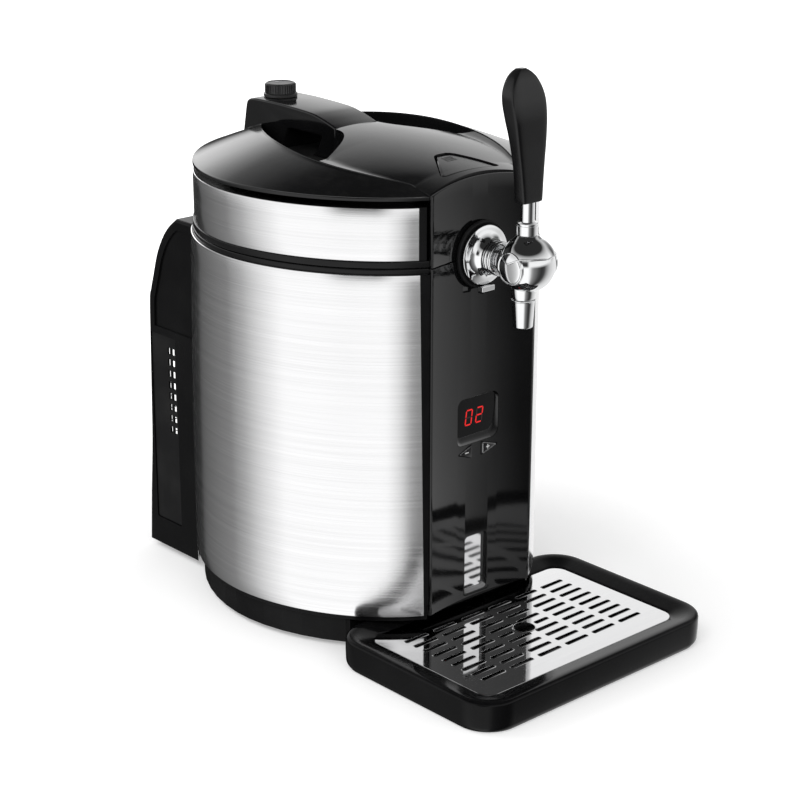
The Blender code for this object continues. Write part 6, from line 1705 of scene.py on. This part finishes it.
def makeFloor():
    half = 14.0
    outline = corners(-half, -half, half, half)
    piece = newObject("floor", (atHeight(outline, 0), [tuple(range(4))]))
    graph, shader = startMaterial("floorPale", {"Roughness": 0.9,
                                                "Specular IOR Level": 0.1})
    shade = studio["floorShade"]
    drift = graph.noise(3, detail=2)
    graph.join(graph.blend(graph.ranged(drift, 0, 1), (shade,) * 3, (shade * 0.985,) * 3),
               shader.inputs["Base Color"])
    # the far floor rises to white for the same rays that see the white world
    reach = graph.add("ShaderNodeVectorMath", operation="LENGTH")
    graph.join(graph.position(), reach.inputs[0])
    lift = graph.ranged(reach.outputs["Value"], studio["floorLift"], 1.0, 0.22, 0.75)
    shader.inputs["Emission Color"].default_value = (1, 1, 1, 1)
    graph.join(graph.math("MULTIPLY", backgroundFactor(graph), lift),
               shader.inputs["Emission Strength"])
    piece.data.materials.append(materials["floorPale"])
    # reflections meet the shell's lower half in its place
    piece.visible_glossy = False


def makeWorld():
    world = bpy.data.worlds.new("whiteStudio")
    bpy.context.scene.world = world
    world.use_nodes = True
    graph = Graph(world.node_tree)
    background = world.node_tree.nodes["Background"]
    background.inputs["Color"].default_value = (1, 1, 1, 1)
    fill = studio["worldFill"]
    lifted = graph.math("MULTIPLY", backgroundFactor(graph), 1 - fill)
    graph.join(graph.math("ADD", lifted, fill), background.inputs["Strength"])


def fillRamp(graph, factor, stops):
    ramp = graph.add("ShaderNodeValToRGB")
    elements = ramp.color_ramp.elements
    for index, (place, tone) in enumerate(stops):
        stop = elements[index] if index < 2 else elements.new(place)
        stop.position = place
        stop.color = (tone, tone, tone, 1)
    graph.join(factor, ramp.inputs["Fac"])
    return ramp.outputs["Color"]


# brightness by direction round the object: 0 front, 0.25 right, 0.5 back, 0.75 left
lowRing = [
    (0.000, 0.08), (1.000, 0.08), (0.035, 0.04), (0.070, 0.07), (0.110, 0.40), (0.150, 0.72),
    (0.220, 0.95), (0.300, 1.00), (0.388, 1.00), (0.402, 0.03), (0.487, 0.03), (0.500, 0.12),
    (0.550, 0.19), (0.603, 0.27), (0.640, 0.50), (0.675, 0.90), (0.715, 1.30), (0.880, 1.30),
    (0.903, 0.95), (0.922, 0.45), (0.945, 0.25),
]
highRing = [
    (0.000, 1.15), (1.000, 1.15), (0.170, 1.10), (0.240, 0.10), (0.300, 0.30), (0.345, 1.10),
    (0.405, 1.25), (0.440, 2.40), (0.500, 2.40), (0.530, 0.40), (0.580, 1.10), (0.780, 1.20),
    (0.810, 0.04), (0.868, 0.04), (0.895, 1.15),
]
# brightness by height, as the sine of the elevation
crown = [(0.0, 0.70), (1.0, 0.03), (0.600, 0.70), (0.700, 0.42), (0.780, 0.03)]


def makeStudioShell():
    # drapes and cards all round the object, which only reflections meet
    radius = studio["domeRadius"]
    rings = []
    for row in range(1, 48):
        tilt = math.pi * (row / 48 - 0.5)
        rings.append([(radius * math.cos(tilt) * math.cos(2 * math.pi * step / 64),
                       radius * math.cos(tilt) * math.sin(2 * math.pi * step / 64) - wellAxisY,
                       radius * math.sin(tilt)) for step in range(64)])
    piece = newObject("studioShell", loft(rings))
    material = bpy.data.materials.new("studioDrape")
    material.use_nodes = True
    material.node_tree.nodes.clear()
    graph = Graph(material.node_tree)
    output = graph.add("ShaderNodeOutputMaterial")
    split = graph.add("ShaderNodeSeparateXYZ")
    graph.join(graph.position(), split.inputs["Vector"])
    turn = graph.math("ARCTAN2", split.outputs["X"],
                      graph.math("MULTIPLY", split.outputs["Y"], -1))
    turn = graph.math("FRACT", graph.math("ADD", graph.math("DIVIDE", turn, 2 * math.pi), 1), 0)
    rise = graph.math("DIVIDE", split.outputs["Z"], radius)
    sides = graph.blend(graph.ranged(rise, 0, 1, 0.04, 0.20), fillRamp(graph, turn, lowRing),
                        fillRamp(graph, turn, highRing))
    tone = graph.blend(graph.ranged(rise, 0, 1, 0.38, 0.62), sides,
                       fillRamp(graph, rise, crown))
    emission = graph.add("ShaderNodeEmission")
    graph.join(tone, emission.inputs["Color"])
    graph.join(emission.outputs["Emission"], output.inputs["Surface"])
    piece.data.materials.append(material)
    for rays in ("camera", "diffuse", "transmission", "volume_scatter", "shadow"):
        setattr(piece, "visible_" + rays, False)


def makeLamps():
    for name, (place, aim, size, power) in lamps.items():
        light = bpy.data.lights.new(name, "AREA")
        light.shape = "RECTANGLE"
        light.size, light.size_y = size
        light.energy = power
        lamp = bpy.data.objects.new(name, light)
        bpy.context.scene.collection.objects.link(lamp)
        lamp.location = place
        lamp.visible_glossy = False
        lamp.rotation_mode = "QUATERNION"
        lamp.rotation_quaternion = (Vector(aim) - Vector(place)).to_track_quat("-Z", "Y")


def makeCamera():
    # solved from the photograph: eye point, look direction and lens
    data = bpy.data.cameras.new("photoCamera")
    data.sensor_width = 36
    data.lens = 92.06
    data.clip_start = 0.05
    data.clip_end = 60
    camera = bpy.data.objects.new("photoCamera", data)
    bpy.context.scene.collection.objects.link(camera)
    camera.location = (-1.0430, -1.1550, 0.7142)
    camera.rotation_mode = "QUATERNION"
    back = Vector((-0.632, -0.7015, 0.3292))
    camera.rotation_quaternion = back.to_track_quat("Z", "Y")
    bpy.context.scene.camera = camera


makeFloor()
makeWorld()
makeStudioShell()
makeLamps()
makeCamera()
bpy.context.scene.view_settings.view_transform = "Standard"
print("stage, lamps and camera made")
